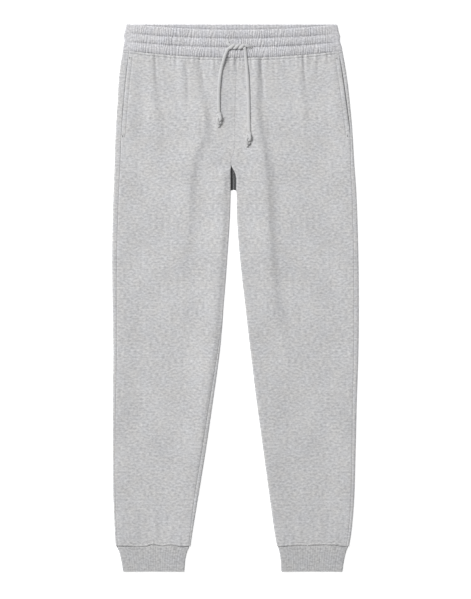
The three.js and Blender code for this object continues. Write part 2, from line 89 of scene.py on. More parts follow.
CUFF_BOW_REACH = 40.0
CUFF_WAVE_HEIGHT = 2.5
CUFF_WAVE_LENGTH = 17.0

# A fold fades in over a distance, fades out over the last share of its route, and grows down the leg
FOLD_FADE = 34.0
FOLD_END = 0.45
FOLD_GROWTH = 0.45
GROWTH_DEPTHS = (120.0, 300.0)
CREASE_FADE = 0.8

# How far the rolled-up edges reach in, where the folds start beside them, and how soon they are fully round
ROLL_REACH = 56.0
OUTER_EASE = 24.0
INNER_EASE = 20.0
INNER_TURN = 22.0
BACK_TURN = 10.0
PARTING_DEPTHS = (CROTCH_DEPTH - 0.4, CROTCH_DEPTH + 1.2)

# Below the waistband the front drops away from it by a step, and the pocket lifts it beside the side seam
BAND_STEP = 0.6
BAND_REACH = 22.0
POCKET_ACROSS = (26.0, 48.0)
POCKET_DOWN = (195.0, 235.0)
EDGE_RELIEF = 0.3

# Rows of a ring near a rounded edge, as shares of the rounding
EDGE_ROWS = (0, 0.12, 0.4, 1.0)


class Side(Enum):
    """The wearer's side of a piece."""

    RIGHT = "right"
    LEFT = "left"

    @property
    def outward(self) -> float:
        """The sign of x on the way out to this side's edge."""
        return -1.0 if self is Side.RIGHT else 1.0


class Slot(Enum):
    """The material slots of the record."""

    FLEECE = "fleece"
    WAISTBAND = "waistband"
    RIB = "rib"
    CORD = "cord"


def ease(value: np.ndarray, low: float, high: float) -> np.ndarray:
    """A rise from 0 to 1 between two values, level at both ends."""
    t = np.clip((np.asarray(value, float) - low) / (high - low), 0, 1)
    return t * t * (3 - 2 * t)


def bell(value: np.ndarray, width: float | np.ndarray) -> np.ndarray:
    """A smooth hump, 1 at 0 and falling off over the width."""
    return np.exp(-((value / width) ** 2))


def span(start: np.ndarray, end: np.ndarray, steps: int) -> np.ndarray:
    """Even places between two columns of values, a row for each pair, without the last."""
    return start + (end - start) * np.linspace(0, 1, steps + 1)[None, :-1]


def full_turn(steps: int) -> np.ndarray:
    """Angles round a full turn, with the first again at the end."""
    return np.linspace(0, 2 * math.pi, steps + 1)


def closed(values: np.ndarray, axis: int = 1) -> np.ndarray:
    """Puts the first of the values again at the end of an axis."""
    return np.concatenate([values, np.take(values, [0], axis)], axis)


def paired(across: np.ndarray, along: np.ndarray) -> np.ndarray:
    """Cloth coordinates from places across and along, which broadcast against each other."""
    return np.stack(np.broadcast_arrays(across, along), axis=-1)


def unit(vectors: np.ndarray) -> np.ndarray:
    """Vectors of the same directions with a length of 1."""
    return vectors / np.maximum(np.linalg.norm(vectors, axis=-1, keepdims=True), 1e-9)


def rounded(into: np.ndarray, wall: float) -> np.ndarray:
    """How far a wall's face is drawn in on a rounded edge, which starts at 0 and ends at 1."""
    return wall / 2 * (1 - np.sqrt(1 - np.clip(into, 0, 1) ** 2))


def add_object(name: str, data: bpy.types.ID) -> bpy.types.Object:
    """Puts a mesh, a camera or a light into the scene."""
    made = bpy.data.objects.new(name, data)
    bpy.context.scene.collection.objects.link(made)
    return made


@dataclass(frozen=True)
class Table:
    """Named columns against depth, read along a smooth cubic curve.

    Between two rows the curve is the cubic with each row's slope taken from its neighbours.
    """

    depth: tuple[float, ...]
    columns: dict[str, tuple[float, ...]]

    def read(self, name: str, depth: np.ndarray) -> np.ndarray:
        """Reads one column.

        Args:
            name: the column.
            depth: the depths to read it at.

        Returns:
            The column's values, in the shape of the depths.
        """
        at = np.asarray(self.depth)
        value = np.asarray(self.columns[name])
        last = len(at) - 1
        i = np.clip(np.searchsorted(at, depth) - 1, 0, last - 1)
        after = np.minimum(np.arange(last + 1) + 1, last)
        before = np.maximum(np.arange(last + 1) - 1, 0)
        slope = (value[after] - value[before]) / (at[after] - at[before])
        span = at[i + 1] - at[i]
        t = np.clip((depth - at[i]) / span, 0, 1)
        h = t * t * (3 - 2 * t)
        bend = span * t * (1 - t) * ((1 - t) * slope[i] - t * slope[i + 1])
        return (1 - h) * value[i] + h * value[i + 1] + bend


# Places across against depth, but the outseam's and the inseam's are distances in from the leg's two edges
OUTLINE = Table(
    (50, 95, 142, 198, 262, 310, 365, 440, 514, 607, 700, 793, 886, 942, 973),
    {
        "right": (-210.4, -216.9, -219.8, -223.5, -225.6, -227.5, -229.2, -230, -229.4, -227.9, -228.7,
                  -228.8, -227.7, -225.3, -223.4),
        "left": (199.6, 207.4, 213, 218, 221.8, 225.3, 227.5, 229.4, 230, 229.4, 226.4, 224.2, 221.4,
                 216.8, 212.1),
    },
)
INNER_OUTLINE = Table(
    (262, 267, 273, 280, 288, 310, 365, 440, 514, 607, 700, 793, 886, 942, 973),
    {
        "right": (-8.1, -8.2, -8.2, -8.2, -8.1, -8.1, -9.8, -14.8, -20.4, -28.4, -41, -54.6, -69.7, -78.8,
                  -83.5),
        "left": (-8.1, -6.2, -3.2, -0.4, 1.2, 1.2, 2.7, 8.5, 16.7, 27.5, 38.8, 51.5, 64.1, 71.9, 77.2),
    },
)
FRONT_RISE = Table((50, 168, 227, 242, 252, 262), {"across": (3, -0.6, -0.8, -4.6, -7.4, -8.1)})
BAND_OUTLINE = Table(
    (0, 8, 16, 22, 31, 42, 50),
    {
        "right": (-203.3, -205.1, -206.9, -208.4, -207.2, -209.4, -210.4),
        "left": (190, 191.5, 193.2, 195.2, 194.8, 198, 199.6),
    },
)
CUFF_OUTLINE = Table(
    (973, 977, 984, 995, 1007, 1020),
    {
        "right low": (-222, -219.5, -216.5, -213.8, -211.5, -209.7),
        "right high": (-85, -86.8, -89.8, -92.4, -93.8, -94.8),
        "left low": (78.6, 80.1, 81.8, 83.5, 84.4, 85),
        "left high": (210.8, 208.7, 206.1, 203.5, 201.3, 199.6),
    },
)
OUTSEAM = Table(
    (50, 95, 150, 205, 280, 385, 570, 830, 973),
    {
        "right": (12.6, 13.6, 11.6, 11.8, 11, 10, 7.5, 5, 4.6),
        "left": (7.5, 7, 5.5, 4.6, 7.5, 8.6, 9, 6.5, 5.6),
    },
)
INSEAM = Table(
    (325, 360, 520, 610, 870, 973),
    {"right": (0, 0, 0, 6.5, 9.5, 5), "left": (0, -3, -3, -3, -3, -3)},
)
POCKET_OPEN = {Side.RIGHT: 0.35, Side.LEFT: 2.0}

# The soft ridge beside the right leg's inner fold: its widths towards the fold and the leg, and its fading
INNER_RIDGE = {Side.RIGHT: 3.0, Side.LEFT: 0.0}
RIDGE_INWARDS = 14.0
RIDGE_WIDTHS = (7.5, 30.0)
RIDGE_FADE = (700.0, 950.0)


class Drift:
    """Smooth, seeded unevenness in one or two directions: random values on a lattice, eased between."""

    SIZE = 512

    def __init__(self, seed: int) -> None:
        """Draws the lattice."""
        self.lattice = np.random.default_rng(seed).uniform(-1, 1, (self.SIZE, self.SIZE))

    def __call__(self, x: np.ndarray, y: np.ndarray | float = 0.0) -> np.ndarray:
        """Reads the unevenness.

        Args:
            x: places in lattice steps.
            y: places the other way, in lattice steps.

        Returns:
            Values between -1 and 1.
        """
        x, y = np.broadcast_arrays(np.asarray(x, float), np.asarray(y, float))
        column, row = np.floor(x).astype(int), np.floor(y).astype(int)
        u, v = x - column, y - row
        u, v = u * u * (3 - 2 * u), v * v * (3 - 2 * v)

        def corner(dx: int, dy: int) -> np.ndarray:
            """The lattice value at one corner of each place's cell."""
            return self.lattice[(row + dy) % self.SIZE, (column + dx) % self.SIZE]

        low = (1 - u) * corner(0, 0) + u * corner(1, 0)
        high = (1 - u) * corner(0, 1) + u * corner(1, 1)
        return (1 - v) * low + v * high


@dataclass(frozen=True)
class Sway:
    """How a drift acts: its strength, its length across, its steps down and its shift across."""

    strength: float
    length: float
    down: float
    shift: float = 0.0

    def read(self, drift: Drift, x: np.ndarray, y: np.ndarray | float) -> np.ndarray:
        """The drift at places across and down, at this strength."""
        return self.strength * drift(x / self.length + self.shift, y * self.down)


@dataclass(frozen=True)
class Fold:
    """A large drape fold: its crest's route down the front, its height and its slopes' widths."""

    height: float
    rightwards: float
    leftwards: float
    depth: tuple[float, ...]
    across: tuple[float, ...]

    def raise_at(self, x: np.ndarray, depth: np.ndarray) -> np.ndarray:
        """Works out the fold's height: a bell across the crest, faded at both ends and growing down the leg.

        Args:
            x: places across.
            depth: depths, which broadcast against x.

        Returns:
            Heights in millimetres.
        """
        first, end = self.depth[0], self.depth[-1]
        crest = Table(self.depth, {"crest": self.across}).read("crest", np.clip(depth, first, end))
        off = x - crest
        growth = 1 + FOLD_GROWTH * ease(depth, *GROWTH_DEPTHS)
        width = growth * np.where(off < 0, self.leftwards, self.rightwards)
        fade_from = end - FOLD_END * (end - first)
        fade = ease(depth, first - FOLD_FADE, first) * (1 - ease(depth, fade_from, end + FOLD_FADE))
        return self.height * growth * fade * bell(off, width)


@dataclass(frozen=True)
class Crease:
    """A small soft ridge, or a trough where its height is below zero, along one straight line."""

    start: tuple[float, float]
    end: tuple[float, float]
    height: float
    width: float

    def raise_at(self, x: np.ndarray, depth: np.ndarray) -> np.ndarray:
        """Works out the crease's height: a bell across its line, fading towards both of its ends.

        Args:
            x: places across.
            depth: depths, which broadcast against x.

        Returns:
            Heights in millimetres.
        """
        run = np.subtract(self.end, self.start)
        length = float(np.hypot(*run))
        off_x, off_depth = x - self.start[0], depth - self.start[1]
        along = (off_x * run[0] + off_depth * run[1]) / length**2
        off = (off_x * run[1] - off_depth * run[0]) / length
        fade = np.sin(math.pi * np.clip(along, 0, 1)) ** CREASE_FADE
        return self.height * fade * bell(off, self.width)


FOLDS = (
    Fold(2.6, 9, 18, (58, 110, 170, 235), (-157, -155, -151, -147)),
    Fold(1.7, 6, 9, (56, 100, 150), (-98, -98, -97)),
    Fold(2.5, 8, 22, (60, 110, 153, 210, 248, 307, 389, 470), (-80, -71, -61, -63, -79, -87, -91, -101)),
    Fold(2.0, 16, 12, (60, 110, 170, 220), (-40, -36, -28, -32)),
    Fold(3.8, 8, 18, (58, 97, 166, 248, 307, 430, 531, 579, 650), (38, 39, 39, 51, 57, 63, 73, 85, 93)),
    Fold(1.8, 7, 12, (56, 138, 200), (118, 125, 131)),
)

# Troughs that start under the waistband
WAIST_CREASES = tuple(
    Crease((across, 28), (across + lean, 28 + 2 * reach), -height, width)
    for across, reach, height, width, lean in (
        (-149.6, 44, 1.0, 2.2, 3),
        (-126, 30, 0.6, 2.0, 1),
        (-92.8, 60, 1.2, 2.6, 6),
        (-64.1, 44, 1.0, 2.2, 4),
        (-37.3, 40, 0.9, 2.2, 2),
        (-25.6, 36, 0.7, 2.0, 0),
        (-11.1, 38, 0.8, 2.0, 1),
        (2.1, 34, 0.6, 1.8, -1),
        (23.9, 36, 0.7, 2.0, 1),
        (47.4, 62, 1.6, 2.6, 6),
        (70.6, 42, 0.9, 2.2, 3),
        (92, 32, 0.6, 2.0, 2),
        (125.9, 50, 1.1, 2.4, 5),
        (152.3, 40, 0.9, 2.2, 2),
        (175.6, 36, 0.8, 2.2, 1),
    )
)

# Soft ridges at the hips and the crotch, then above the cuffs
CREASES = WAIST_CREASES + (
    Crease((-60, 150), (-47, 232), 1.4, 7),
    Crease((14, 236), (60, 262), 0.9, 6),
    Crease((-16, 240), (-62, 270), 0.8, 6),
    Crease((8, 300), (44, 336), 0.8, 7),
    Crease((-16, 300), (-50, 340), 0.8, 7),
    Crease((-150, 900), (-148, 968), 1.1, 5),
    Crease((-120, 920), (-118, 968), 0.8, 4),
    Crease((-190, 915), (-186, 968), 0.8, 5),
    Crease((120, 905), (121, 968), 1.0, 5),
    Crease((160, 915), (158, 968), 0.9, 4),
    Crease((190, 925), (186, 968), 0.8, 4),
)
CUFF_WAVE = Drift(seed=41)


def cuff_seam_rise(x: np.ndarray, across: np.ndarray) -> np.ndarray:
    """How far the cuff's seam lies above its two ends: a bow with a small uneven wave in it."""
    wave = CUFF_WAVE_HEIGHT * CUFF_WAVE(x / CUFF_WAVE_LENGTH)
    return arch(across) * CUFF_BOW + np.sqrt(arch(across)) * wave


def band_sag(x: np.ndarray) -> np.ndarray:
    """How far the front layer hangs below the back at each place across, a parabola from the sides."""
    return FRONT_DROOP * np.maximum(0, 1 - (np.asarray(x) / DROOP_HALF_WIDTH) ** 2)


def front_rise(depth: np.ndarray) -> np.ndarray:
    """The centre front seam's place across, curving to the wearer's right above the crotch."""
    return FRONT_RISE.read("across", np.clip(depth, FRONT_RISE.depth[0], FRONT_RISE.depth[-1]))


def arch(across: np.ndarray) -> np.ndarray:
    """A level arch from 0 through 1 to 0 over the width of a piece."""
    return np.sin(math.pi * np.clip(across, 0, 1))


def garment_point(x: np.ndarray, depth: np.ndarray, z: np.ndarray) -> np.ndarray:
    """Stacks places across, depths and heights into points, with y = half the length less the depth."""
    return np.stack(np.broadcast_arrays(x, LENGTH / 2 - depth, z), axis=-1)


class Relief:
    """The small height of the front's cloth: gathers and lines at the two end seams, and unevenness.

    A wave of gathers has a height, a length and a reach. A line along a seam has a height, a distance from
    the seam and a width.
    """

    WAIST_GATHERS = ((0.70, 17.5, 30.0), (0.80, 9.6, 18.0), (0.45, 6.2, 10.0))
    CUFF_GATHERS = ((0.32, 12.5, 26.0), (0.26, 7.4, 15.0))
    CUFF_SEED = 200.0
    WAVE_SHIFT = 37
    WANDER = 0.55
    WANDER_LENGTH = 2.2
    WANDER_REACH = 60
    STRENGTH = 0.6
    STRENGTH_LENGTH = 1.7
    BROAD = (Sway(0.35, 38, 1 / 74), Sway(0.12, 15, 1 / 22, 90))
    TOPSTITCH = 5.2
    CUFF_STITCH = 4.8
    WAIST_LINES = ((-0.8, TOPSTITCH, 0.9), (0.45, 2.6, 1.5))
    CUFF_LINES = ((0.75, 2.5, 1.5), (-0.45, CUFF_STITCH, 0.9))

    def __init__(self) -> None:
        """Draws the seeded unevenness that the gathers wander by."""
        self.wander = Drift(seed=11)
        self.broad = Drift(seed=12)
        self.strength = Drift(seed=13)

    def gathers(
        self, x: np.ndarray, away: np.ndarray, waves: tuple[tuple[float, float, float], ...], seed: float
    ) -> np.ndarray:
        """Adds waves across the cloth that die away from a seam, each with its phase and strength wandering.

        Args:
            x: places across.
            away: distances from the seam.
            waves: each wave's height, length and reach.
            seed: a shift that makes one set of gathers unlike another.

        Returns:
            Heights in millimetres.
        """
        total = np.zeros(np.broadcast(x, away).shape)
        for i, (height, length, reach) in enumerate(waves):
            shift = seed + self.WAVE_SHIFT * i
            drift = self.wander(x / (self.WANDER_LENGTH * length) + shift, away / self.WANDER_REACH + shift)
            phase = x / length + self.WANDER * drift
            local = self.STRENGTH * (1 + self.strength(x / (self.STRENGTH_LENGTH * length) + shift, shift))
            total = total + height * local * np.exp(-away / reach) * np.sin(2 * math.pi * phase)
        return total

    def __call__(self, x: np.ndarray, depth: np.ndarray) -> np.ndarray:
        """The height added to the front's outer face at each place.

        Args:
            x: places across.
            depth: depths down the cloth.

        Returns:
            Heights in millimetres.
        """
        below = np.maximum(depth - BAND_DEPTH, 0)
        above = np.maximum(CUFF_SEAM_DEPTH - depth, 0)
        height = self.gathers(x, below, self.WAIST_GATHERS, 0.0)
        height = height + self.gathers(x, above, self.CUFF_GATHERS, self.CUFF_SEED)
        for sway in self.BROAD:
            height = height + sway.read(self.broad, x, depth)
        for crease in CREASES:
            height = height + crease.raise_at(x, depth)
        for away, lines in ((below, self.WAIST_LINES), (above, self.CUFF_LINES)):
            for rise, place, width in lines:
                height = height + rise * bell(away - place, width)
        return height


RELIEF = Relief()


class Section:
    """One leg's cross-sections at a column of depths.

    Places are given by the cloth's own length q round the section, from the outer fold's extreme point
    over the front to the inner fold's extreme point, and rows of them broadcast against the depths.
    """

    def __init__(self, side: Side, depth: np.ndarray) -> None:
        """Works out the section's edges and turns at each depth.

        Args:
            side: the leg.
            depth: depths, taken as one column.
        """
        self.side = side
        self.depth = np.asarray(depth, float).reshape(-1, 1)
        self.outer = OUTLINE.read(side.value, self.depth)
        inner = INNER_OUTLINE.read(side.value, self.depth)
        self.inner = np.where(self.depth > CROTCH_SPLIT_DEPTH, inner, front_rise(self.depth))
        self.width = np.abs(self.outer - self.inner)
        self.wrap = HALF_PI * ease(self.depth, CROTCH_SPLIT_DEPTH, CROTCH_SPLIT_DEPTH + INNER_TURN)
        self.crown = FOLD_RADIUS * np.sin(self.wrap)
        self.quarter = HALF_PI * FOLD_RADIUS
        self.crown_at = self.quarter + self.width - FOLD_RADIUS - self.crown
        self.front_length = self.crown_at + self.wrap * FOLD_RADIUS
        parting = ease(self.depth, *PARTING_DEPTHS)
        back_inner = BACK_RISE_X + (self.inner - BACK_RISE_X) * parting
        self.back_width = np.abs(self.outer - back_inner)
        self.back_wrap = HALF_PI * ease(self.depth, CROTCH_DEPTH, CROTCH_DEPTH + BACK_TURN)
        self.back_crown = FOLD_RADIUS * np.sin(self.back_wrap)
        self.back_crown_at = self.quarter + self.back_width - FOLD_RADIUS - self.back_crown
        self.back_end = self.back_crown_at + self.back_wrap * FOLD_RADIUS

    def height(self, inward: np.ndarray) -> np.ndarray:
        """The front's outer face: rolled up at both edges, raised by band, pocket, folds, ridge and relief.

        Args:
            inward: distances in from the outer fold.

        Returns:
            Heights off the floor.
        """
        x = self.outer - self.side.outward * inward
        roll = 2 * FOLD_RADIUS - FRONT_HEIGHT
        from_inner = self.width - inward
        turned = self.wrap / HALF_PI
        rolled = 1 - ease(inward, FOLD_RADIUS, FOLD_RADIUS + ROLL_REACH)
        rolled = rolled + turned * (1 - ease(from_inner, FOLD_RADIUS, FOLD_RADIUS + ROLL_REACH))
        rolled = np.minimum(rolled, 1)
        near_inner = turned * (1 - ease(from_inner, FOLD_RADIUS, FOLD_RADIUS + INNER_EASE))
        level = np.maximum(ease(inward, FOLD_RADIUS, FOLD_RADIUS + OUTER_EASE) - near_inner, 0)
        ridge = INNER_RIDGE[self.side] * turned * (1 - ease(self.depth, *RIDGE_FADE))
        ridge = ridge * bell(from_inner - RIDGE_INWARDS, np.where(from_inner < RIDGE_INWARDS, *RIDGE_WIDTHS))
        below = np.maximum(self.depth - BAND_DEPTH - band_sag(x), 0)
        at_band = (BAND_FRONT_HEIGHT - BAND_STEP - FRONT_HEIGHT) * np.exp(-below / BAND_REACH)
        over_pocket = POCKET_LIFT * (1 - ease(inward, *POCKET_ACROSS)) * (1 - ease(self.depth, *POCKET_DOWN))
        folds = sum(fold.raise_at(x, self.depth) for fold in FOLDS)
        small = RELIEF(x, self.depth) * (EDGE_RELIEF + (1 - EDGE_RELIEF) * level)
        raised = at_band * (1 - rolled) + level * (over_pocket + folds) + ridge
        return FRONT_HEIGHT + roll * rolled + raised + small

    def point(self, inward: np.ndarray, z: np.ndarray, front: float = 1.0) -> np.ndarray:
        """A point of either layer: the front hangs lower at mid waist, and both bow up at mid cuff.

        Args:
            inward: distances in from the outer fold.
            z: heights off the floor.
            front: 1 on the front layer and 0 on the back.

        Returns:
            Points in millimetres.
        """
        x = self.outer - self.side.outward * inward
        sag = front * band_sag(x) * (1 - ease(self.depth, BAND_DEPTH, DROOP_END_DEPTH))
        near_cuff = ease(self.depth, CUFF_SEAM_DEPTH - CUFF_BOW_REACH, CUFF_SEAM_DEPTH)
        bow = near_cuff * cuff_seam_rise(x, inward / self.width)
        return garment_point(x, self.depth + sag - bow, z)

    def place(self, q: np.ndarray, inwards: np.ndarray | float) -> np.ndarray:
        """Points at q on the front's outer face: a quarter round, the front, and the inner fold's turn.

        Args:
            q: lengths round the section.
            inwards: how far below the outer face, into the cloth.

        Returns:
            Points in millimetres.
        """
        q = np.broadcast_to(q, (len(self.depth), np.shape(q)[-1]))
        r = FOLD_RADIUS - inwards
        out_turn = np.clip(q, 0, self.quarter) / FOLD_RADIUS
        in_turn = np.clip(q - self.crown_at, 0, None) / FOLD_RADIUS
        level = FOLD_RADIUS + q - self.quarter
        top = self.height(self.width - self.crown)
        over_nose = q < self.quarter
        over_front = q <= self.crown_at
        inward = np.select(
            [over_nose, over_front],
            [FOLD_RADIUS - r * np.cos(out_turn), level],
            self.width - self.crown + r * np.sin(in_turn),
        )
        nose_rise = self.height(np.full_like(self.depth, FOLD_RADIUS)) - 2 * FOLD_RADIUS
        nose_z = FOLD_RADIUS + r * np.sin(out_turn) + nose_rise * np.sin(out_turn) ** 2
        z = np.select(
            [over_nose, over_front],
            [nose_z, self.height(level) - inwards],
            top - FOLD_RADIUS + r * np.cos(in_turn),
        )
        return self.point(inward, z)

    def place_back(self, b: np.ndarray, inwards: np.ndarray | float) -> np.ndarray:
        """Points at b on the back's outer face, from the outer fold under the leg to its inner end.

        Below zero it wraps onto the front, and past its inner end it wraps onto the front again.

        Args:
            b: lengths round the section.
            inwards: how far inside the outer face.

        Returns:
            Points in millimetres.
        """
        b = np.broadcast_to(b, (len(self.depth), np.shape(b)[-1]))
        inwards = np.broadcast_to(inwards, b.shape)
        r = FOLD_RADIUS - inwards
        turn = np.clip(b, 0, self.quarter) / FOLD_RADIUS
        inner_turn = np.clip(b - self.back_crown_at, 0, None) / FOLD_RADIUS
        nose = self.point(FOLD_RADIUS - r * np.cos(turn), FOLD_RADIUS - r * np.sin(turn), 0)
        under = self.point(FOLD_RADIUS + b - self.quarter, inwards, 0)
        inner_x = self.back_width - self.back_crown + r * np.sin(inner_turn)
        inner = self.point(inner_x, FOLD_RADIUS - r * np.cos(inner_turn), 0)
        outside = self.place(-b, inwards)
        onto_front = self.place(self.front_length - (b - self.back_end), inwards)
        turned = (b <= self.back_end) | (self.back_wrap < HALF_PI)
        choices = [b < 0, b < self.quarter, b <= self.back_crown_at, turned]
        return np.select([c[..., None] for c in choices], [outside, nose, under, inner], onto_front)

    def from_edge(self, distance: np.ndarray) -> np.ndarray:
        """q of a place on the front at a distance in from the outer fold."""
        over_nose = FOLD_RADIUS * np.arccos(np.clip(1 - distance / FOLD_RADIUS, -1, 1))
        return np.where(distance < FOLD_RADIUS, over_nose, self.quarter + distance - FOLD_RADIUS)

    def outseam(self) -> np.ndarray:
        """q of the side seam."""
        return self.from_edge(OUTSEAM.read(self.side.value, self.depth))

    def inseam(self) -> np.ndarray:
        """The inner seam's distance from the inner fold's extreme point, onto the front."""
        seam = INSEAM.read(self.side.value, self.depth)
        return np.where(self.depth < INSEAM.depth[0], 0, seam)

    def inseam_gap(self) -> np.ndarray:
        """Half the gap at the inner seams, wider where the wall turns round the fold."""
        return (SEAM_GAP / 2) * (1 + 0.8 * ease(self.depth, CROTCH_SPLIT_DEPTH, CROTCH_DEPTH))

    def pocket_opening(self) -> np.ndarray:
        """How far the front's edge stands off the side seam along the pocket."""
        along = (self.depth - POCKET_TOP_DEPTH) / (POCKET_BOTTOM_DEPTH - POCKET_TOP_DEPTH)
        return POCKET_OPEN[self.side] * arch(along) ** 0.6


def front_surface(x: np.ndarray, depth: np.ndarray) -> np.ndarray:
    """The height of the two fronts' outer faces below the waistband, with its sag taken off the depth.

    Args:
        x: places across.
        depth: depths as they lie, one for each place.

    Returns:
        Heights off the floor.
    """
    own = depth
    for _ in range(SAG_ROUNDS):
        own = depth - band_sag(x) * (1 - ease(own, BAND_DEPTH, DROOP_END_DEPTH))
    heights = []
    for side in Side:
        section = Section(side, own)
        inward = side.outward * (section.outer - x.reshape(-1, 1))
        heights.append(section.height(inward)[:, 0])
    return np.where(x < front_rise(own), *heights)


@dataclass
class Grid:
    """Rows and columns of points with their cloth coordinates, both in millimetres.

    A ring's cloth coordinates have one column more than its points, for its closing seam.
    """

    points: np.ndarray
    cloth: np.ndarray


@dataclass
class Faces:
    """Vertices with faces of several sizes, each face corner with its cloth coordinates."""

    vertices: list[np.ndarray] = field(default_factory=list)
    faces: list[np.ndarray] = field(default_factory=list)
    cloth: list[np.ndarray] = field(default_factory=list)
    paints: list[np.ndarray] = field(default_factory=list)
    paint: int = 0
    count: int = 0

    def add_points(self, points: np.ndarray) -> int:
        """Adds points and returns the index of the first."""
        first = self.count
        flat = points.reshape(-1, 3)
        self.vertices.append(flat)
        self.count += len(flat)
        return first

    def add_faces(self, faces: np.ndarray, cloth: np.ndarray) -> None:
        """Adds faces of one size with their corners' cloth coordinates."""
        self.faces.append(faces)
        self.cloth.append(cloth)
        self.paints.append(np.full(len(faces), self.paint))

    def add_grid(self, grid: Grid, ring: bool, flip: bool = False) -> np.ndarray:
        """Adds a grid's points and quads.

        Args:
            grid: the grid.
            ring: whether its last column joins its first.
            flip: whether its quads turn the other way.

        Returns:
            The points' indices, one column longer than the grid where it is a ring.
        """
        rows, columns = grid.points.shape[:2]
        index = self.add_points(grid.points) + np.arange(rows * columns).reshape(rows, columns)
        if ring:
            index = closed(index)
        self.add_strip(index[:-1], index[1:], grid.cloth[:-1], grid.cloth[1:], flip)
        return index

    def add_strip(
        self, one: np.ndarray, two: np.ndarray, cloth_one: np.ndarray, cloth_two: np.ndarray, flip: bool
    ) -> None:
        """Adds the quads between neighbouring rows of indices.

        Args:
            one: rows of indices.
            two: the rows after them.
            cloth_one: the first rows' cloth coordinates.
            cloth_two: the second rows' cloth coordinates.
            flip: whether the quads turn the other way.
        """
        quads = np.stack([one[..., :-1], two[..., :-1], two[..., 1:], one[..., 1:]], axis=-1)
        first, second = cloth_one, cloth_two
        places = [first[..., :-1, :], second[..., :-1, :], second[..., 1:, :], first[..., 1:, :]]
        corners = np.stack(places, axis=-2)
        if flip:
            quads, corners = quads[..., ::-1], corners[..., ::-1, :]
        self.add_faces(quads.reshape(-1, 4), corners.reshape(-1, 4, 2))

    def add_tube(self, grid: Grid) -> None:
        """Adds a closed tube whose rows are its rings, with a fan of triangles at each end."""
        index = self.add_grid(grid, ring=True)
        for row, flip in ((0, True), (-1, False)):
            centre = self.add_points(grid.points[row].mean(axis=0))
            ring = index[row]
            fan = np.stack([ring[:-1], ring[1:], np.full(len(ring) - 1, centre)], axis=-1)
            places = np.repeat(grid.cloth[row][:-1, None, :], 3, axis=1)
            self.add_faces(fan[:, ::-1] if flip else fan, places)

    def volume(self) -> float:
        """Six times the enclosed volume, below zero where the faces point inwards."""
        points = np.concatenate(self.vertices)
        total = 0.0
        for faces in self.faces:
            for i in range(1, faces.shape[1] - 1):
                a, b, c = points[faces[:, 0]], points[faces[:, i]], points[faces[:, i + 1]]
                total += float(np.einsum("ij,ij->", a, np.cross(b, c)))
        return total

    def make(self, name: str, *materials: bpy.types.Material) -> bpy.types.Object:
        """Makes the object, its faces turned outwards, smooth and with its cloth coordinates as a UV map.

        Args:
            name: the piece's name.
            materials: its finishes, by the numbers that its faces were painted with.

        Returns:
            The new object, at the origin, with its place in its mesh.
        """
        flip = -1 if self.volume() < 0 else 1
        mesh = bpy.data.meshes.new(name)
        vertices = np.concatenate(self.vertices) * MM
        mesh.vertices.add(len(vertices))
        mesh.vertices.foreach_set("co", vertices.astype(np.float32).ravel())
        corners = np.concatenate([f[:, ::flip].ravel() for f in self.faces])
        sizes = np.concatenate([np.full(len(f), f.shape[1]) for f in self.faces])
        mesh.loops.add(len(corners))
        mesh.loops.foreach_set("vertex_index", corners.astype(np.int32))
        mesh.polygons.add(len(sizes))
        starts = np.concatenate([[0], np.cumsum(sizes)[:-1]])
        mesh.polygons.foreach_set("loop_start", starts.astype(np.int32))
        mesh.update(calc_edges=True)
        mesh.polygons.foreach_set("use_smooth", np.ones(len(sizes), bool))
        mesh.polygons.foreach_set("material_index", np.concatenate(self.paints).astype(np.int32))
        places = np.concatenate([c[:, ::flip].reshape(-1, 2) for c in self.cloth]) * MM
        layer = mesh.uv_layers.new(name=UV_NAME)
        layer.data.foreach_set("uv", places.astype(np.float32).ravel())
        mesh.update()
        for material in materials:
            mesh.materials.append(material)
        return add_object(name, mesh)


def closed_wall(outer: Grid, inner: Grid, ring: bool = False, inside: int = 0) -> Faces:
    """Joins an outer and an inner grid of cloth into one closed wall.

    Args:
        outer: the outer face.
        inner: the inner face, with the same columns, and the same rows unless it is a ring.
        ring: whether the last column joins the first.
        inside: the number of the inner face's finish.

    Returns:
        The wall's faces.
    """
    faces = Faces()
    out = faces.add_grid(outer, ring)
    faces.paint = inside
    into = faces.add_grid(inner, ring, flip=True)
    faces.paint = 0
    faces.add_strip(into[:1], out[:1], inner.cloth[:1], outer.cloth[:1], False)
    faces.add_strip(out[-1:], into[-1:], outer.cloth[-1:], inner.cloth[-1:], False)
    if not ring:
        for edge, flip in ((0, False), (-1, True)):
            faces.add_strip(out[None, :, edge], into[None, :, edge], outer.cloth[None, :, edge],
                            inner.cloth[None, :, edge], flip)
    return faces


def dress(piece: bpy.types.Object, slot: Slot, replaces: tuple[str, ...] = ()) -> bpy.types.Object:
    """Rides a piece on the garment's one body and hides the CAD nodes that it replaces.

    Args:
        piece: the piece.
        slot: not used.
        replaces: the CAD nodes that it replaces.

    Returns:
        The same piece.
    """
    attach(piece, "root")
    if replaces:
        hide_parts(*replaces)
    log.info("%s: %d faces", piece.name, len(piece.data.polygons))
    return piece


class Link:
    """A number in a node tree, as a socket, that Python's operators act on by adding Math nodes."""

    def __init__(self, nodes: Nodes, socket: Socket) -> None:
        """Wraps a socket."""
        self.nodes = nodes
        self.socket = socket

    def __add__(self, other: Link | float) -> Link:
        """The sum."""
        return self.nodes.math("ADD", self, other)

    __radd__ = __add__

    def __sub__(self, other: Link | float) -> Link:
        """The difference."""
        return self.nodes.math("SUBTRACT", self, other)

    def __mul__(self, other: Link | float) -> Link:
        """The product."""
        return self.nodes.math("MULTIPLY", self, other)

    def sine(self) -> Link:
        """The sine."""
        return self.nodes.math("SINE", self)


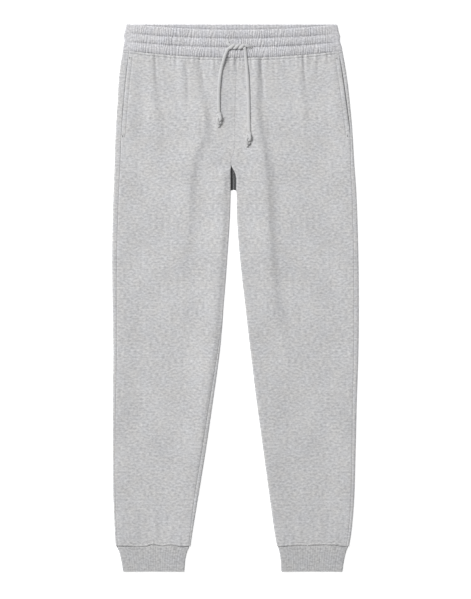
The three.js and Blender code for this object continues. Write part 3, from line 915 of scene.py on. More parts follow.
class Nodes:
    """The node tree of one new material."""

    def __init__(self, name: str) -> None:
        """Makes the material and empties its tree."""
        self.material = bpy.data.materials.new(name)
        self.material.use_nodes = True
        self.tree = self.material.node_tree
        self.tree.nodes.clear()

    def node(self, kind: str, settings: Settings = None, sockets: Sockets = None) -> bpy.types.Node:
        """Adds any node.

        Args:
            kind: the node's type.
            settings: its properties, set first.
            sockets: the values or links of its input sockets.

        Returns:
            The node.
        """
        made = self.tree.nodes.new(kind)
        for key, value in (settings or {}).items():
            setattr(made, key, value)
        for key, value in (sockets or {}).items():
            target = made.inputs[key]
            if isinstance(value, Link):
                self.tree.links.new(value.socket, target)
            elif isinstance(value, Socket):
                self.tree.links.new(value, target)
            else:
                target.default_value = value
        return made

    def math(self, operation: str, *values: Link | float) -> Link:
        """Adds a Math node on links and numbers."""
        made = self.node("ShaderNodeMath", {"operation": operation}, dict(enumerate(values)))
        return Link(self, made.outputs[0])

    def stretch(self, vector: Socket, size: tuple[float, float]) -> Socket:
        """Divides a cloth coordinate by a size across and a size along."""
        scale = (1 / size[0], 1 / size[1], 1)
        return self.node("ShaderNodeVectorMath", {"operation": "MULTIPLY"}, {0: vector, 1: scale}).outputs[0]

    def noise(self, vector: Socket, scale: float, detail: float, roughness: float = 0.5) -> Link:
        """Adds a noise of one size, as a number around one half."""
        made = self.node(
            "ShaderNodeTexNoise",
            {"noise_dimensions": "3D"},
            {"Vector": vector, "Scale": scale, "Detail": detail, "Roughness": roughness},
        )
        return Link(self, made.outputs["Fac"])

    def mix(self, factor: Link, low: Colour, high: Colour) -> Socket:
        """Mixes two colours by a number."""
        made = self.node(
            "ShaderNodeMix", {"data_type": "RGBA", "clamp_factor": True}, {"Factor": factor, 6: low, 7: high}
        )
        return made.outputs[2]

    def surface(self, sockets: Sockets) -> bpy.types.Material:
        """Ends the tree in one shader with these inputs and returns the material."""
        shader = self.node("ShaderNodeBsdfPrincipled", None, sockets)
        self.node("ShaderNodeOutputMaterial", None, {"Surface": shader.outputs[0]})
        return self.material


@dataclass(frozen=True)
class KnitFinish:
    """A heather knit: dark and light yarn mixed in short streaks across, over fine wales and a soft nap.

    Lengths are in metres, and a course is a share of a wale. The streaks, wales and courses follow the
    piece's cloth coordinates.
    """

    name: str
    dark: tuple[float, float, float]
    light: tuple[float, float, float]
    balance: float = 0.5
    streak: tuple[float, float] = (0.0058, 0.0034)
    streak_depth: float = 0.98
    fleck: tuple[float, float] = (0.0016, 0.0010)
    fleck_depth: float = 0.32
    cloud: float = 0.060
    cloud_depth: float = 0.22
    tint_size: float = 0.026
    tint_depth: float = 0.008
    tint_contrast: float = 3.0
    wale: float = 0.0011
    wale_share: float = 0.6
    course: float = 0.8
    wale_height: float = 0.35
    nap: float = 0.0007
    nap_height: float = 0.5
    streak_height: float = 0.5
    relief: float = 0.00030
    relief_strength: float = 0.55
    roughness: float = 0.94
    sheen: float = 0.12

    def tinted(self, warmth: float) -> Colour:
        """The light yarn's colour, warmed by 1 or cooled by -1."""
        shift = warmth * self.tint_depth
        return tuple(c * k for c, k in zip((*self.light, 1), (1 + shift, 1, 1 - 2 * shift, 1)))

    def build(self) -> bpy.types.Material:
        """Makes the material.

        Returns:
            The material.
        """
        n = Nodes(self.name)
        cloth = n.node("ShaderNodeUVMap", {"uv_map": UV_NAME}).outputs["UV"]
        streaks = n.noise(n.stretch(cloth, self.streak), 1.0, 1.5, 0.6)
        flecks = n.noise(n.stretch(cloth, self.fleck), 1.0, 1.0)
        clouds = n.noise(cloth, 1 / self.cloud, 2.0)
        factor = (
            self.balance
            + (streaks - 0.5) * self.streak_depth
            + (flecks - 0.5) * self.fleck_depth
            + (clouds - 0.5) * self.cloud_depth
        )
        tint = (n.noise(cloth, 1 / self.tint_size, 1.0) - 0.5) * self.tint_contrast + 0.5
        colour = n.mix(factor, (*self.dark, 1), n.mix(tint, self.tinted(-1), self.tinted(1)))
        parts = n.node("ShaderNodeSeparateXYZ", None, {0: cloth})
        wales = (Link(n, parts.outputs["X"]) * (2 * math.pi / self.wale)).sine()
        courses = (Link(n, parts.outputs["Y"]) * (2 * math.pi / (self.course * self.wale))).sine()
        knit = wales * self.wale_share + courses * (1 - self.wale_share)
        nap = (n.noise(cloth, 1 / self.nap, 2.0, 0.7) - 0.5) * self.nap_height
        height = knit * self.wale_height + nap + (streaks - 0.5) * self.streak_height
        sockets = {"Strength": self.relief_strength, "Distance": self.relief, "Height": height}
        bump = n.node("ShaderNodeBump", None, sockets).outputs[0]
        return n.surface(
            {
                "Base Color": colour,
                "Roughness": self.roughness,
                "Sheen Weight": self.sheen,
                "Sheen Roughness": 0.6,
                "Specular IOR Level": 0.2,
                "Normal": bump,
            }
        )


KNITS = (
    KnitFinish("heather_fleece", (0.27, 0.27, 0.284), (0.84, 0.838, 0.836)),
    KnitFinish("gathered_band_knit", (0.27, 0.27, 0.29), (0.85, 0.846, 0.866), wale=0.0013),
    KnitFinish("rib_knit", (0.25, 0.25, 0.258), (0.755, 0.755, 0.757), streak_depth=1.0, sheen=0.08),
    KnitFinish("cord_jersey", (0.36, 0.36, 0.368), (0.8, 0.8, 0.8), streak_depth=0.6, streak=(0.002, 0.002)),
    KnitFinish("sewing_thread", (0.4, 0.402, 0.408), (0.8, 0.802, 0.808), streak_depth=0.3),
    # The last finish is near black. It is painted shade on the legs' inner faces, standing in for the shadow
    # down the crotch slot, and is not the cloth's own colour.
    KnitFinish("painted_shade_inside", (0.06, 0.061, 0.064), (0.125, 0.125, 0.128), streak_depth=0.6),
)


@dataclass(frozen=True)
class FloorFinish:
    """A plain pale studio floor."""

    name: str = "studio_floor"
    colour: tuple[float, float, float] = (0.93, 0.93, 0.93)
    glow: float = 0.62

    def build(self) -> bpy.types.Material:
        """Makes the material.

        Returns:
            The material.
        """
        return Nodes(self.name).surface(
            {
                "Base Color": (*self.colour, 1),
                "Roughness": 0.9,
                "Specular IOR Level": 0.1,
                "Emission Color": (1, 1, 1, 1),
                "Emission Strength": self.glow,
            }
        )


@dataclass(frozen=True)
class Studio:
    """The camera straight above, the pale floor, a soft key light from the upper left and an even fill."""

    view_centre: tuple[float, float] = (0.00028, -0.00297)
    visible_height: float = 1.1149
    distance: float = 5.0
    cloth_height: float = 0.006
    sensor: float = 36.0
    key_place: tuple[float, float, float] = (-3.5, 3.0, 4.9)
    key_size: float = 3.0
    key_power: float = 410.0
    fill: float = 0.36
    floor_reach: float = 6.0
    floor_level: float = -0.0004

    def add_camera(self) -> None:
        """Adds the camera: its lens is the sensor's size times the distance over the height it sees."""
        camera = bpy.data.cameras.new("camera")
        camera.sensor_width = self.sensor
        camera.lens = self.sensor * self.distance / self.visible_height
        holder = add_object("camera", camera)
        holder.location = (*self.view_centre, self.distance + self.cloth_height)
        bpy.context.scene.camera = holder

    def add_lights(self) -> None:
        """Adds the key light, turned to the garment's middle, and the even fill of the world."""
        light = bpy.data.lights.new("key", "AREA")
        light.shape = "DISK"
        light.size = self.key_size
        light.energy = self.key_power
        holder = add_object("key", light)
        holder.location = self.key_place
        away = np.array(self.key_place) / np.linalg.norm(self.key_place)
        holder.rotation_euler = (math.acos(away[2]), 0, math.atan2(away[1], away[0]) + HALF_PI)
        holder.visible_camera = False
        world = bpy.data.worlds.new("studio")
        world.use_nodes = True
        background = world.node_tree.nodes["Background"]
        background.inputs["Color"].default_value = (1, 1, 1, 1)
        background.inputs["Strength"].default_value = self.fill
        bpy.context.scene.world = world

    def add_floor(self) -> None:
        """Adds the floor, a hair below the garment's underside."""
        mesh = bpy.data.meshes.new("floor")
        reach, low = self.floor_reach, self.floor_level
        corners = [(-reach, -reach, low), (reach, -reach, low), (reach, reach, low), (-reach, reach, low)]
        mesh.from_pydata(corners, [], [(0, 1, 2, 3)])
        mesh.materials.append(FloorFinish().build())
        add_object("floor", mesh)

    def build(self) -> None:
        """Sets the studio up, with plain colour handling."""
        bpy.context.scene.view_settings.view_transform = "Standard"
        self.add_camera()
        self.add_lights()
        self.add_floor()


def smooth_route(points: np.ndarray, steps: int) -> np.ndarray:
    """Runs a smooth curve through points: centripetal Catmull-Rom, the same number of steps for each piece.

    Args:
        points: the points, in order.
        steps: steps between two of them.

    Returns:
        The curve's points.
    """
    before = 2 * points[0] - points[1]
    after = 2 * points[-1] - points[-2]
    p = np.vstack([before, points, after])
    gap = np.sqrt(np.linalg.norm(np.diff(p, axis=0), axis=1))[:, None]
    start, end = p[1:-2], p[2:-1]
    first, middle, last = gap[:-2], gap[1:-1], gap[2:]
    leave = (start - p[:-3]) / first - (end - p[:-3]) / (first + middle) + (end - start) / middle
    reach = (end - start) / middle - (p[3:] - start) / (middle + last) + (p[3:] - end) / last
    leave, reach = leave * middle, reach * middle
    t = np.linspace(0, 1, steps, endpoint=False)[None, :, None]
    h = t * t * (3 - 2 * t)
    start, end, leave, reach = (a[:, None, :] for a in (start, end, leave, reach))
    curve = start * (1 - h) + end * h + t * (1 - t) * ((1 - t) * leave - t * reach)
    return np.vstack([curve.reshape(-1, 3), points[-1:]])


def lengths_along(path: np.ndarray) -> np.ndarray:
    """How far along a path each of its points lies."""
    return np.concatenate([[0], np.cumsum(np.linalg.norm(np.diff(path, axis=0), axis=1))])


def points_at(path: np.ndarray, at: np.ndarray) -> np.ndarray:
    """The points that lie at distances along a path."""
    run = lengths_along(path)
    return np.stack([np.interp(at, run, path[:, i]) for i in range(3)], axis=-1)


def evenly(path: np.ndarray, spacing: float) -> np.ndarray:
    """Points along a path at an even spacing, its two ends among them."""
    length = lengths_along(path)[-1]
    count = max(int(round(length / spacing)), 2)
    return points_at(path, np.linspace(0, length, count + 1))


def tube(path: np.ndarray, width: np.ndarray | float, height: np.ndarray | float, sides: int) -> Grid:
    """Carries an oval along a path, its width level and its height square to the path.

    Args:
        path: the centreline.
        width: the oval's full width, one number or one for each point.
        height: its full height, the same.
        sides: points round the oval.

    Returns:
        The tube's rings as rows, with its cloth coordinates round and along.
    """
    tangent = unit(np.gradient(path, axis=0))
    across = unit(np.cross([0, 0, 1.0], tangent))
    up = np.cross(tangent, across)
    turn = full_turn(sides)
    round_turn = turn[:-1][None, :, None]
    wide = np.broadcast_to(width, len(path))[:, None, None] / 2 * np.cos(round_turn)
    high = np.broadcast_to(height, len(path))[:, None, None] / 2 * np.sin(round_turn)
    points = path[:, None, :] + wide * across[:, None, :] + high * up[:, None, :]
    girth = turn * float(np.mean(width)) / 2
    cloth = np.stack(np.meshgrid(girth, lengths_along(path)), axis=-1)
    return Grid(points, cloth)


@dataclass(frozen=True)
class Overhand:
    """An overhand knot, drawn up from a loose one in small rounds until the cord lies against itself.

    The loose knot is the curve (t^3 - 3t, 4t^2 - t^4, t^5 - 10t). In each round its ends are pulled apart,
    its bends are eased, its steps are brought back to their one length, and parts closer than the cord's
    diameter are pushed off each other.
    """

    diameter: float
    turns: float = 15.6
    points: int = 80
    rounds: int = 520
    pull: float = 0.11
    ease: float = 0.25
    pushes: int = 6
    push: float = 0.8
    apart_from: float = 1.35
    loose_reach: float = 2.12
    loose_height: float = 0.22
    flatness: float = 0.46

    def spaced(self, path: np.ndarray, step: float) -> np.ndarray:
        """Brings every step of the path to one length, every other step at a time."""
        for first in (0, 1):
            one, two = path[first:-1:2], path[first + 1 :: 2]
            gap = two - one
            fix = (1 - step / np.linalg.norm(gap, axis=1, keepdims=True)) * gap / 2
            path[first:-1:2], path[first + 1 :: 2] = one + fix, two - fix
        return path

    def pushed(self, path: np.ndarray, apart: np.ndarray) -> np.ndarray:
        """Pushes parts of the path that are too close off each other, each by its share of the overlap."""
        off = path[:, None] - path[None, :]
        distance = np.maximum(np.linalg.norm(off, axis=-1), 1e-6)
        overlap = np.where(apart, np.clip(self.diameter - distance, 0, None), 0)
        touching = np.maximum((overlap > 0).sum(axis=1, keepdims=True), 1)
        return path + self.push * ((overlap / distance)[..., None] * off).sum(axis=1) / touching

    def drawn_up(self) -> np.ndarray:
        """Draws the knot up.

        Returns:
            Its centreline, from the strand's end at the top to its tail, flattened, its middle at the origin.
        """
        t = np.linspace(-self.loose_reach, self.loose_reach, self.points)
        loose = np.stack([t**3 - 3 * t, 4 * t**2 - t**4, self.loose_height * (t**5 - 10 * t)], axis=-1)
        length = self.turns * self.diameter
        step = length / (self.points - 1)
        loose *= length / lengths_along(loose)[-1]
        path = evenly(loose, step)[: self.points]
        order = np.arange(len(path))
        apart = np.abs(order[:, None] - order[None, :]) * step >= self.apart_from * self.diameter
        for _ in range(self.rounds):
            path[0, 0] -= self.pull
            path[-1, 0] += self.pull
            path[1:-1] += self.ease * ((path[:-2] + path[2:]) / 2 - path[1:-1])
            for _ in range(self.pushes):
                path = self.pushed(self.spaced(path, step), apart)
        path -= (path.max(axis=0) + path.min(axis=0)) / 2
        return np.stack([path[:, 2], -path[:, 0], self.flatness * path[:, 1]], axis=-1)


@dataclass(frozen=True)
class EndKnotShape:
    """Where an end knot sits: its middle across and down, its size, its tilt, and whether it is mirrored."""

    across: float
    depth: float
    size: float
    tilt: float
    mirror: float


@dataclass(frozen=True)
class Drawcords:
    """The drawstring's two ends: out of the eyelets, one half knot, and down the front to their end knots."""

    finish: bpy.types.Material
    thread: bpy.types.Material
    diameter: float = 5.5
    strand_width: float = 6.1
    strand_height: float = 4.3
    knot_height: float = 3.6
    sink: float = 0.5
    band_top: float = 9.4
    twist_from: float = -11.0
    twist_to: float = 17.0
    twist_depth: float = 42.6
    twist_sink: float = 1.9
    twist_radius: float = 2.3
    twist_reach: float = 1.2
    twist_rise: float = 0.65
    twist_turns: float = 1.5
    twist_points: int = 12
    sides: int = 16
    route_steps: int = 12
    spacing: float = 1.2
    knot_spacing: float = 0.8
    knot_squeeze: float = 0.94
    centreline_step: int = 3
    eyelet_radius: float = 3.6
    eyelet_thread: float = 1.1
    eyelet_lift: float = 0.2
    eyelet_steps: int = 40
    eyelet_sides: int = 8
    eyelet_stitches: int = 20
    eyelet_wave: float = 0.12

    def twist(self, phase: float) -> list[tuple[float, float, float]]:
        """One cord's points along the half knot: a helix about a level line across the waistband.

        Args:
            phase: where the cord starts round the line.

        Returns:
            Places across, depths and heights.
        """
        u = np.linspace(0, 1, self.twist_points + 1)
        turn = phase + self.twist_turns * 2 * math.pi * u
        x = self.twist_from + (self.twist_to - self.twist_from) * u
        depth = self.twist_depth - self.twist_reach * self.twist_radius * np.cos(turn)
        middle = self.band_top + self.strand_height - self.twist_sink
        z = middle - self.twist_rise * self.twist_radius * np.sin(turn)
        return list(zip(x, depth, z))

    def route(self, side: Side, knot_start: np.ndarray) -> np.ndarray:
        """The points that one cord follows, its strand lying on the fronts.

        Args:
            side: the eyelet that it leaves.
            knot_start: where its end knot starts.

        Returns:
            Points in millimetres.
        """
        low = self.band_top
        if side is Side.RIGHT:
            start = [(-11.8, 33.4, low - 1), (-13.4, 34.6, low + 1), (-14.6, 37, low + 2)]
            twist = self.twist(0)
            strand = [(18.2, 49, low + 1.6), (19, 58, low + 0.6)]
            lying = [(20.2, 70), (21.6, 86), (23, 104), (24.2, 132), (24.8, 166), (25.2, 185)]
        else:
            start = [(26.2, 44, low - 1), (24.4, 42.4, low + 1), (21, 41, low + 2)]
            twist = self.twist(math.pi)[::-1]
            strand = [(-14.6, 48.6, low + 2.4), (-18.4, 56.5, low + 2.2), (-22.6, 70, low + 1.4)]
            lying = [(-26.4, 84), (-29.4, 103), (-31.2, 132), (-31.2, 150)]
        x, depth = np.array(lying, float).T
        z = front_surface(x, depth) + self.strand_height / 2 - self.sink
        table = np.array(start + twist + strand + list(zip(x, depth, z)), float)
        return np.vstack([garment_point(table[:, 0], table[:, 1], table[:, 2]), knot_start])

    def knot_path(self, shape: EndKnotShape, drawn: np.ndarray) -> np.ndarray:
        """The centreline of one end knot, its lowest part lying on the front.

        Args:
            shape: where and how it sits.
            drawn: the drawn-up knot about the origin.

        Returns:
            Points in millimetres.
        """
        c, s = math.cos(shape.tilt), math.sin(shape.tilt)
        own = drawn * [shape.mirror * shape.size, shape.size, 1]
        turned = own @ np.array([[c, s, 0], [-s, c, 0], [0, 0, 1]])
        place = np.array([[shape.across, shape.depth]])
        surface = front_surface(place[:, 0], place[:, 1])[0]
        rise = surface + self.knot_height / 2 - self.sink - own[:, 2].min()
        return turned + garment_point(shape.across, shape.depth, rise)

    def add_cord(self, side: Side, knot: bpy.types.Object, knot_start: np.ndarray) -> bpy.types.Object:
        """Adds one cord.

        Args:
            side: the eyelet that it leaves.
            knot: the knot at its end.
            knot_start: where that knot starts.

        Returns:
            The cord's object.
        """
        path = evenly(smooth_route(self.route(side, knot_start), self.route_steps), self.spacing)
        faces = Faces()
        faces.add_tube(tube(path, self.strand_width, self.strand_height, self.sides))
        piece = faces.make(f"cord_{side.value}", self.finish)
        dress(piece, Slot.CORD, (f"drawcord_{side.value}",))
        self.diameter * MM
        self.add_eyelet(side, path[0])
        return piece

    def add_knot(self, side: Side, path: np.ndarray) -> bpy.types.Object:
        """Adds an end knot, the cord's own tube wound along the knot's centreline.

        Args:
            side: the cord's side.
            path: the knot's centreline.

        Returns:
            The knot's object.
        """
        faces = Faces()
        faces.add_tube(tube(evenly(path, self.knot_spacing), self.diameter, self.knot_height, self.sides))
        piece = faces.make(f"end_knot_{side.value}", self.finish)
        return dress(piece, Slot.CORD, (f"knot_{side.value}",))

    def add_eyelet(self, side: Side, place: np.ndarray) -> None:
        """Adds the ring of close stitching round the hole that a cord leaves by.

        Args:
            side: the eyelet's side.
            place: where the cord leaves.
        """
        turn = full_turn(self.eyelet_steps)[:, None]
        around = full_turn(self.eyelet_sides)
        thread = self.eyelet_thread / 2 * (1 + self.eyelet_wave * np.sin(self.eyelet_stitches * turn))
        reach = self.eyelet_radius + thread * np.cos(around)
        points = np.stack([reach * np.cos(turn), reach * np.sin(turn), thread * np.sin(around)], axis=-1)
        cloth = paired(self.eyelet_radius * turn, self.eyelet_thread / 2 * around)
        faces = Faces()
        centre = [place[0], place[1], self.band_top + self.eyelet_lift]
        order = np.arange(self.eyelet_steps * self.eyelet_sides).reshape(-1, self.eyelet_sides)
        index = closed(closed(faces.add_points(points[:-1, :-1] + centre) + order), axis=0)
        faces.add_strip(index[:-1], index[1:], cloth[:-1], cloth[1:], False)
        dress(faces.make(f"eyelet_{side.value}", self.thread), Slot.CORD)

    def build(self) -> None:
        """Adds both cords with their knots and eyelets."""
        drawn = Overhand(self.diameter * self.knot_squeeze).drawn_up()
        shapes = {
            Side.RIGHT: EndKnotShape(24.0, 214.4, 1.06, 0.36, -1),
            Side.LEFT: EndKnotShape(-30.6, 177.6, 1.04, 0.5, -1),
        }
        for side, shape in shapes.items():
            path = self.knot_path(shape, drawn)
            self.add_cord(side, self.add_knot(side, path), path[0])


@dataclass(frozen=True)
class Legs:
    """The two fronts and the two backs, each a thin closed wall that turns round the garment's folds."""

    finish: bpy.types.Material
    # inside: the inner faces' finish, a painted shade for the shadow in the crotch slot
    inside: bpy.types.Material
    seam_dip: float = 0.5
    end_seam_dip: float = 0.3
    rise_dip: float = 0.3
    rise_fade: tuple[float, float] = (CROTCH_SPLIT_DEPTH - 16, CROTCH_SPLIT_DEPTH + 6)
    seam_width: float = 1.2
    edge: float = 10.4
    edge_steps: int = 16
    steps: int = 92
    back_steps: tuple[int, int, int, int] = (14, 6, 22, 16)
    back_turn: float = 8.7
    fold_gap: float = 0.01
    pocket_fade: float = 3.0
    pocket_dip: float = 0.5
    stitch_dip: float = 0.6
    stitch_width: float = 1.0
    edge_roll: float = 0.4
    edge_roll_at: float = 3.4
    edge_roll_width: float = 2.4

    def rows(self) -> np.ndarray:
        """Depths down a leg, closest below the waistband, at the crotch and above the cuff.

        Returns:
            The depths.
        """
        half = SEAM_GAP / 2
        spacings = (
            (BAND_DEPTH + half, 58, 0.5),
            (58, 86, 1.15),
            (86, 256, 3.0),
            (256, 307, 1.5),
            (307, 312, 0.4),
            (312, 330, 1.8),
            (330, 930, 3.6),
            (930, 958, 2.0),
        )
        above = [np.arange(*spacing) for spacing in spacings]
        return np.concatenate([*above, np.linspace(spacings[-1][1], CUFF_SEAM_DEPTH - half, 29)])

    def dip(self, distance: np.ndarray) -> np.ndarray:
        """How far the cloth is drawn in at a seam, by distance from it."""
        return self.seam_dip * bell(distance, self.seam_width)

    def end_dip(self, depth: np.ndarray) -> np.ndarray:
        """The same at the waistband's and the cuff's seams."""
        near_end = bell(depth - BAND_DEPTH, self.seam_width) + bell(CUFF_SEAM_DEPTH - depth, self.seam_width)
        return self.end_seam_dip * near_end

    def columns(self, low: np.ndarray, high: np.ndarray) -> np.ndarray:
        """Places from one edge to the other, close together near both.

        Args:
            low: the first place in each row.
            high: the last place in each row.

        Returns:
            The places, a row for each depth.
        """
        inner_low, inner_high = low + self.edge, high - self.edge
        near = span(low, inner_low, self.edge_steps)
        middle = span(inner_low, inner_high, self.steps)
        far = span(inner_high, high, self.edge_steps)
        return np.concatenate([near, middle, far, high], axis=1)

    def wall(self, place: Rule, q: np.ndarray, dip: np.ndarray, depth: np.ndarray) -> Faces:
        """Closes a wall of cloth between its outer face and its inner face.

        Args:
            place: gives points from places and depths into the cloth.
            q: places across, a row for each depth.
            dip: how far the outer face is drawn in.
            depth: the depths, as a column.

        Returns:
            The wall.
        """
        cloth = paired(q, -depth)
        outer = Grid(place(q, dip), cloth)
        inner = Grid(place(q, CLOTH), cloth)
        # The inner face takes the second finish, which is painted shade.
        return closed_wall(outer, inner, inside=1)

    def add_front(self, side: Side) -> bpy.types.Object:
        """Adds a front: from the side seam over the leg to the centre or inner seam.

        Args:
            side: the leg.

        Returns:
            The front's object.
        """
        section = Section(side, self.rows())
        half = SEAM_GAP / 2
        low = section.outseam() + half + section.pocket_opening()
        high = section.front_length - section.inseam() - section.inseam_gap()
        q = self.columns(low, high)
        fade = self.pocket_fade
        pocket = ease(section.depth, POCKET_TOP_DEPTH - fade, POCKET_TOP_DEPTH + fade)
        pocket = pocket * (1 - ease(section.depth, POCKET_BOTTOM_DEPTH - fade, POCKET_BOTTOM_DEPTH + fade))
        topstitch = self.stitch_dip * pocket * bell(q - low - POCKET_STITCH, self.stitch_width)
        roll = self.edge_roll * pocket * bell(q - low - self.edge_roll_at, self.edge_roll_width)
        below_rise = ease(section.depth, *self.rise_fade)
        inner_dip = self.dip(high - q) * (self.rise_dip + (1 - self.rise_dip) * below_rise)
        outer_dip = self.dip(q - low) * (1 - self.pocket_dip * pocket)
        dip = outer_dip + inner_dip + self.end_dip(section.depth) + topstitch - roll
        piece = self.wall(section.place, q, dip, section.depth).make(
            f"cloth_front_{side.value}", self.finish, self.inside
        )
        dress(piece, Slot.FLEECE, (f"front_{side.value}",))
        return piece

    def add_back(self, side: Side) -> bpy.types.Object:
        """Adds a back: from the side seam on the front, round under the leg, to the centre or inner seam.

        Args:
            side: the leg.

        Returns:
            The back's object.
        """
        section = Section(side, self.rows())
        half = SEAM_GAP / 2
        low = half - section.outseam()
        wrapped = section.back_wrap / HALF_PI
        high = section.back_end + wrapped * section.inseam() - section.inseam_gap()
        zero = np.zeros_like(low)
        fold_end = zero + section.quarter
        turn_in = np.minimum(section.back_crown_at, high - self.back_turn)
        ends = ((low, zero - self.fold_gap), (zero, fold_end), (fold_end, turn_in), (turn_in, high))
        spans = [span(*pair, steps) for pair, steps in zip(ends, self.back_steps)]
        b = np.concatenate([*spans, high], axis=1)
        dip = self.dip(b - low) + self.dip(high - b) + self.end_dip(section.depth)
        piece = self.wall(section.place_back, b, dip, section.depth).make(
            f"cloth_back_{side.value}", self.finish, self.inside
        )
        dress(piece, Slot.FLEECE, (f"back_{side.value}",))
        return piece

    def build(self) -> None:
        """Adds both fronts and both backs."""
        for side in Side:
            self.add_front(side)
            self.add_back(side)


@dataclass(frozen=True)
class Pockets:
    """The facings that show in the pocket openings, behind the fronts' edges."""

    finish: bpy.types.Material
    wall: float = 1.0
    width: float = 9.0
    reach: float = 4.0
    overlap: float = 2.0
    fold_reach: float = 0.4
    clear: float = 0.6
    rows: int = 80
    columns: int = 13

    def build(self) -> None:
        """Adds both facings, each a thin wall a little below the front's inner face."""
        for side in Side:
            ends = (POCKET_TOP_DEPTH - self.reach, POCKET_BOTTOM_DEPTH + self.reach)
            section = Section(side, np.linspace(*ends, self.rows))
            seam = OUTSEAM.read(side.value, section.depth)
            low = np.maximum(seam - self.overlap, FOLD_RADIUS - self.fold_reach)
            inward = low + (seam + self.width - low) * np.linspace(0, 1, self.columns)[None, :]
            top = section.height(np.maximum(inward, FOLD_RADIUS)) - CLOTH - self.clear
            cloth = paired(inward, -section.depth)
            outer = Grid(section.point(inward, top), cloth)
            inner = Grid(section.point(inward, top - self.wall), cloth)
            piece = closed_wall(outer, inner).make(f"facing_{side.value}", self.finish)
            dress(piece, Slot.FLEECE, (f"pocket_{side.value}",))


@dataclass(frozen=True)
class RingForm:
    """A flattened ring of cloth: a front layer over a flat back layer, joined by rounded folds.

    The outer grid runs over the front, round the left fold, back underneath and round the right fold.
    """

    front_height: float
    columns: tuple[int, int]
    edges: Callable[[np.ndarray], tuple[np.ndarray, np.ndarray]]
    depth_at: Rule
    turn_steps: int = 12
    relief_rise: float = 12.0

    def grid(self, row: np.ndarray, inwards: np.ndarray, relief: Rule | None = None) -> Grid:
        """Works out one face of the ring.

        Args:
            row: places down the ring, from 0 to 1.
            inwards: how far inside the outer face each row is.
            relief: the height added to the face at places across, rows and layer (1 front, 0 back), if any.

        Returns:
            The face's grid.
        """
        row = np.asarray(row, float).reshape(-1, 1)
        inwards = np.broadcast_to(np.asarray(inwards, float).reshape(-1, 1), row.shape)
        radius = self.front_height / 2
        low, high = self.edges(row)
        flat_from, flat_to = low + radius, high - radius
        u, back_u = (np.linspace(0, 1, columns + 1)[None, :] for columns in self.columns)
        front_x = flat_from + (flat_to - flat_from) * u
        front_z = self.front_height - inwards + 0 * front_x
        back_x = flat_to + (flat_from - flat_to) * back_u
        back_z = inwards + 0 * back_x
        if relief is not None:
            level = np.clip(self.relief_rise * np.minimum(u, 1 - u), 0, 1)
            front_z = front_z + level * relief(front_x, row, 1.0)
            back_z = back_z + relief(back_x, row, 0.0)
        angle = np.linspace(HALF_PI, -HALF_PI, self.turn_steps)[None, 1:-1]
        out, up = (radius - inwards) * np.cos(angle), (radius - inwards) * np.sin(angle)
        x = np.concatenate([front_x, flat_to + out, back_x, flat_from - out], axis=1)
        z = np.concatenate([front_z, radius + up, back_z, radius - up], axis=1)
        rising, falling = (1 + np.sin(angle)) / 2, (1 - np.sin(angle)) / 2
        share = np.concatenate([1 + 0 * u, rising, 0 * back_u, falling], axis=1)
        depth = self.depth_at(x, row, np.broadcast_to(share, x.shape))
        step = np.abs(np.diff(closed(x), axis=1)) + np.abs(np.diff(closed(z), axis=1))
        along = np.concatenate([np.zeros((len(row), 1)), np.cumsum(step, axis=1)], axis=1)
        return Grid(garment_point(x, depth, z), paired(along[len(row) // 2], -closed(depth)))


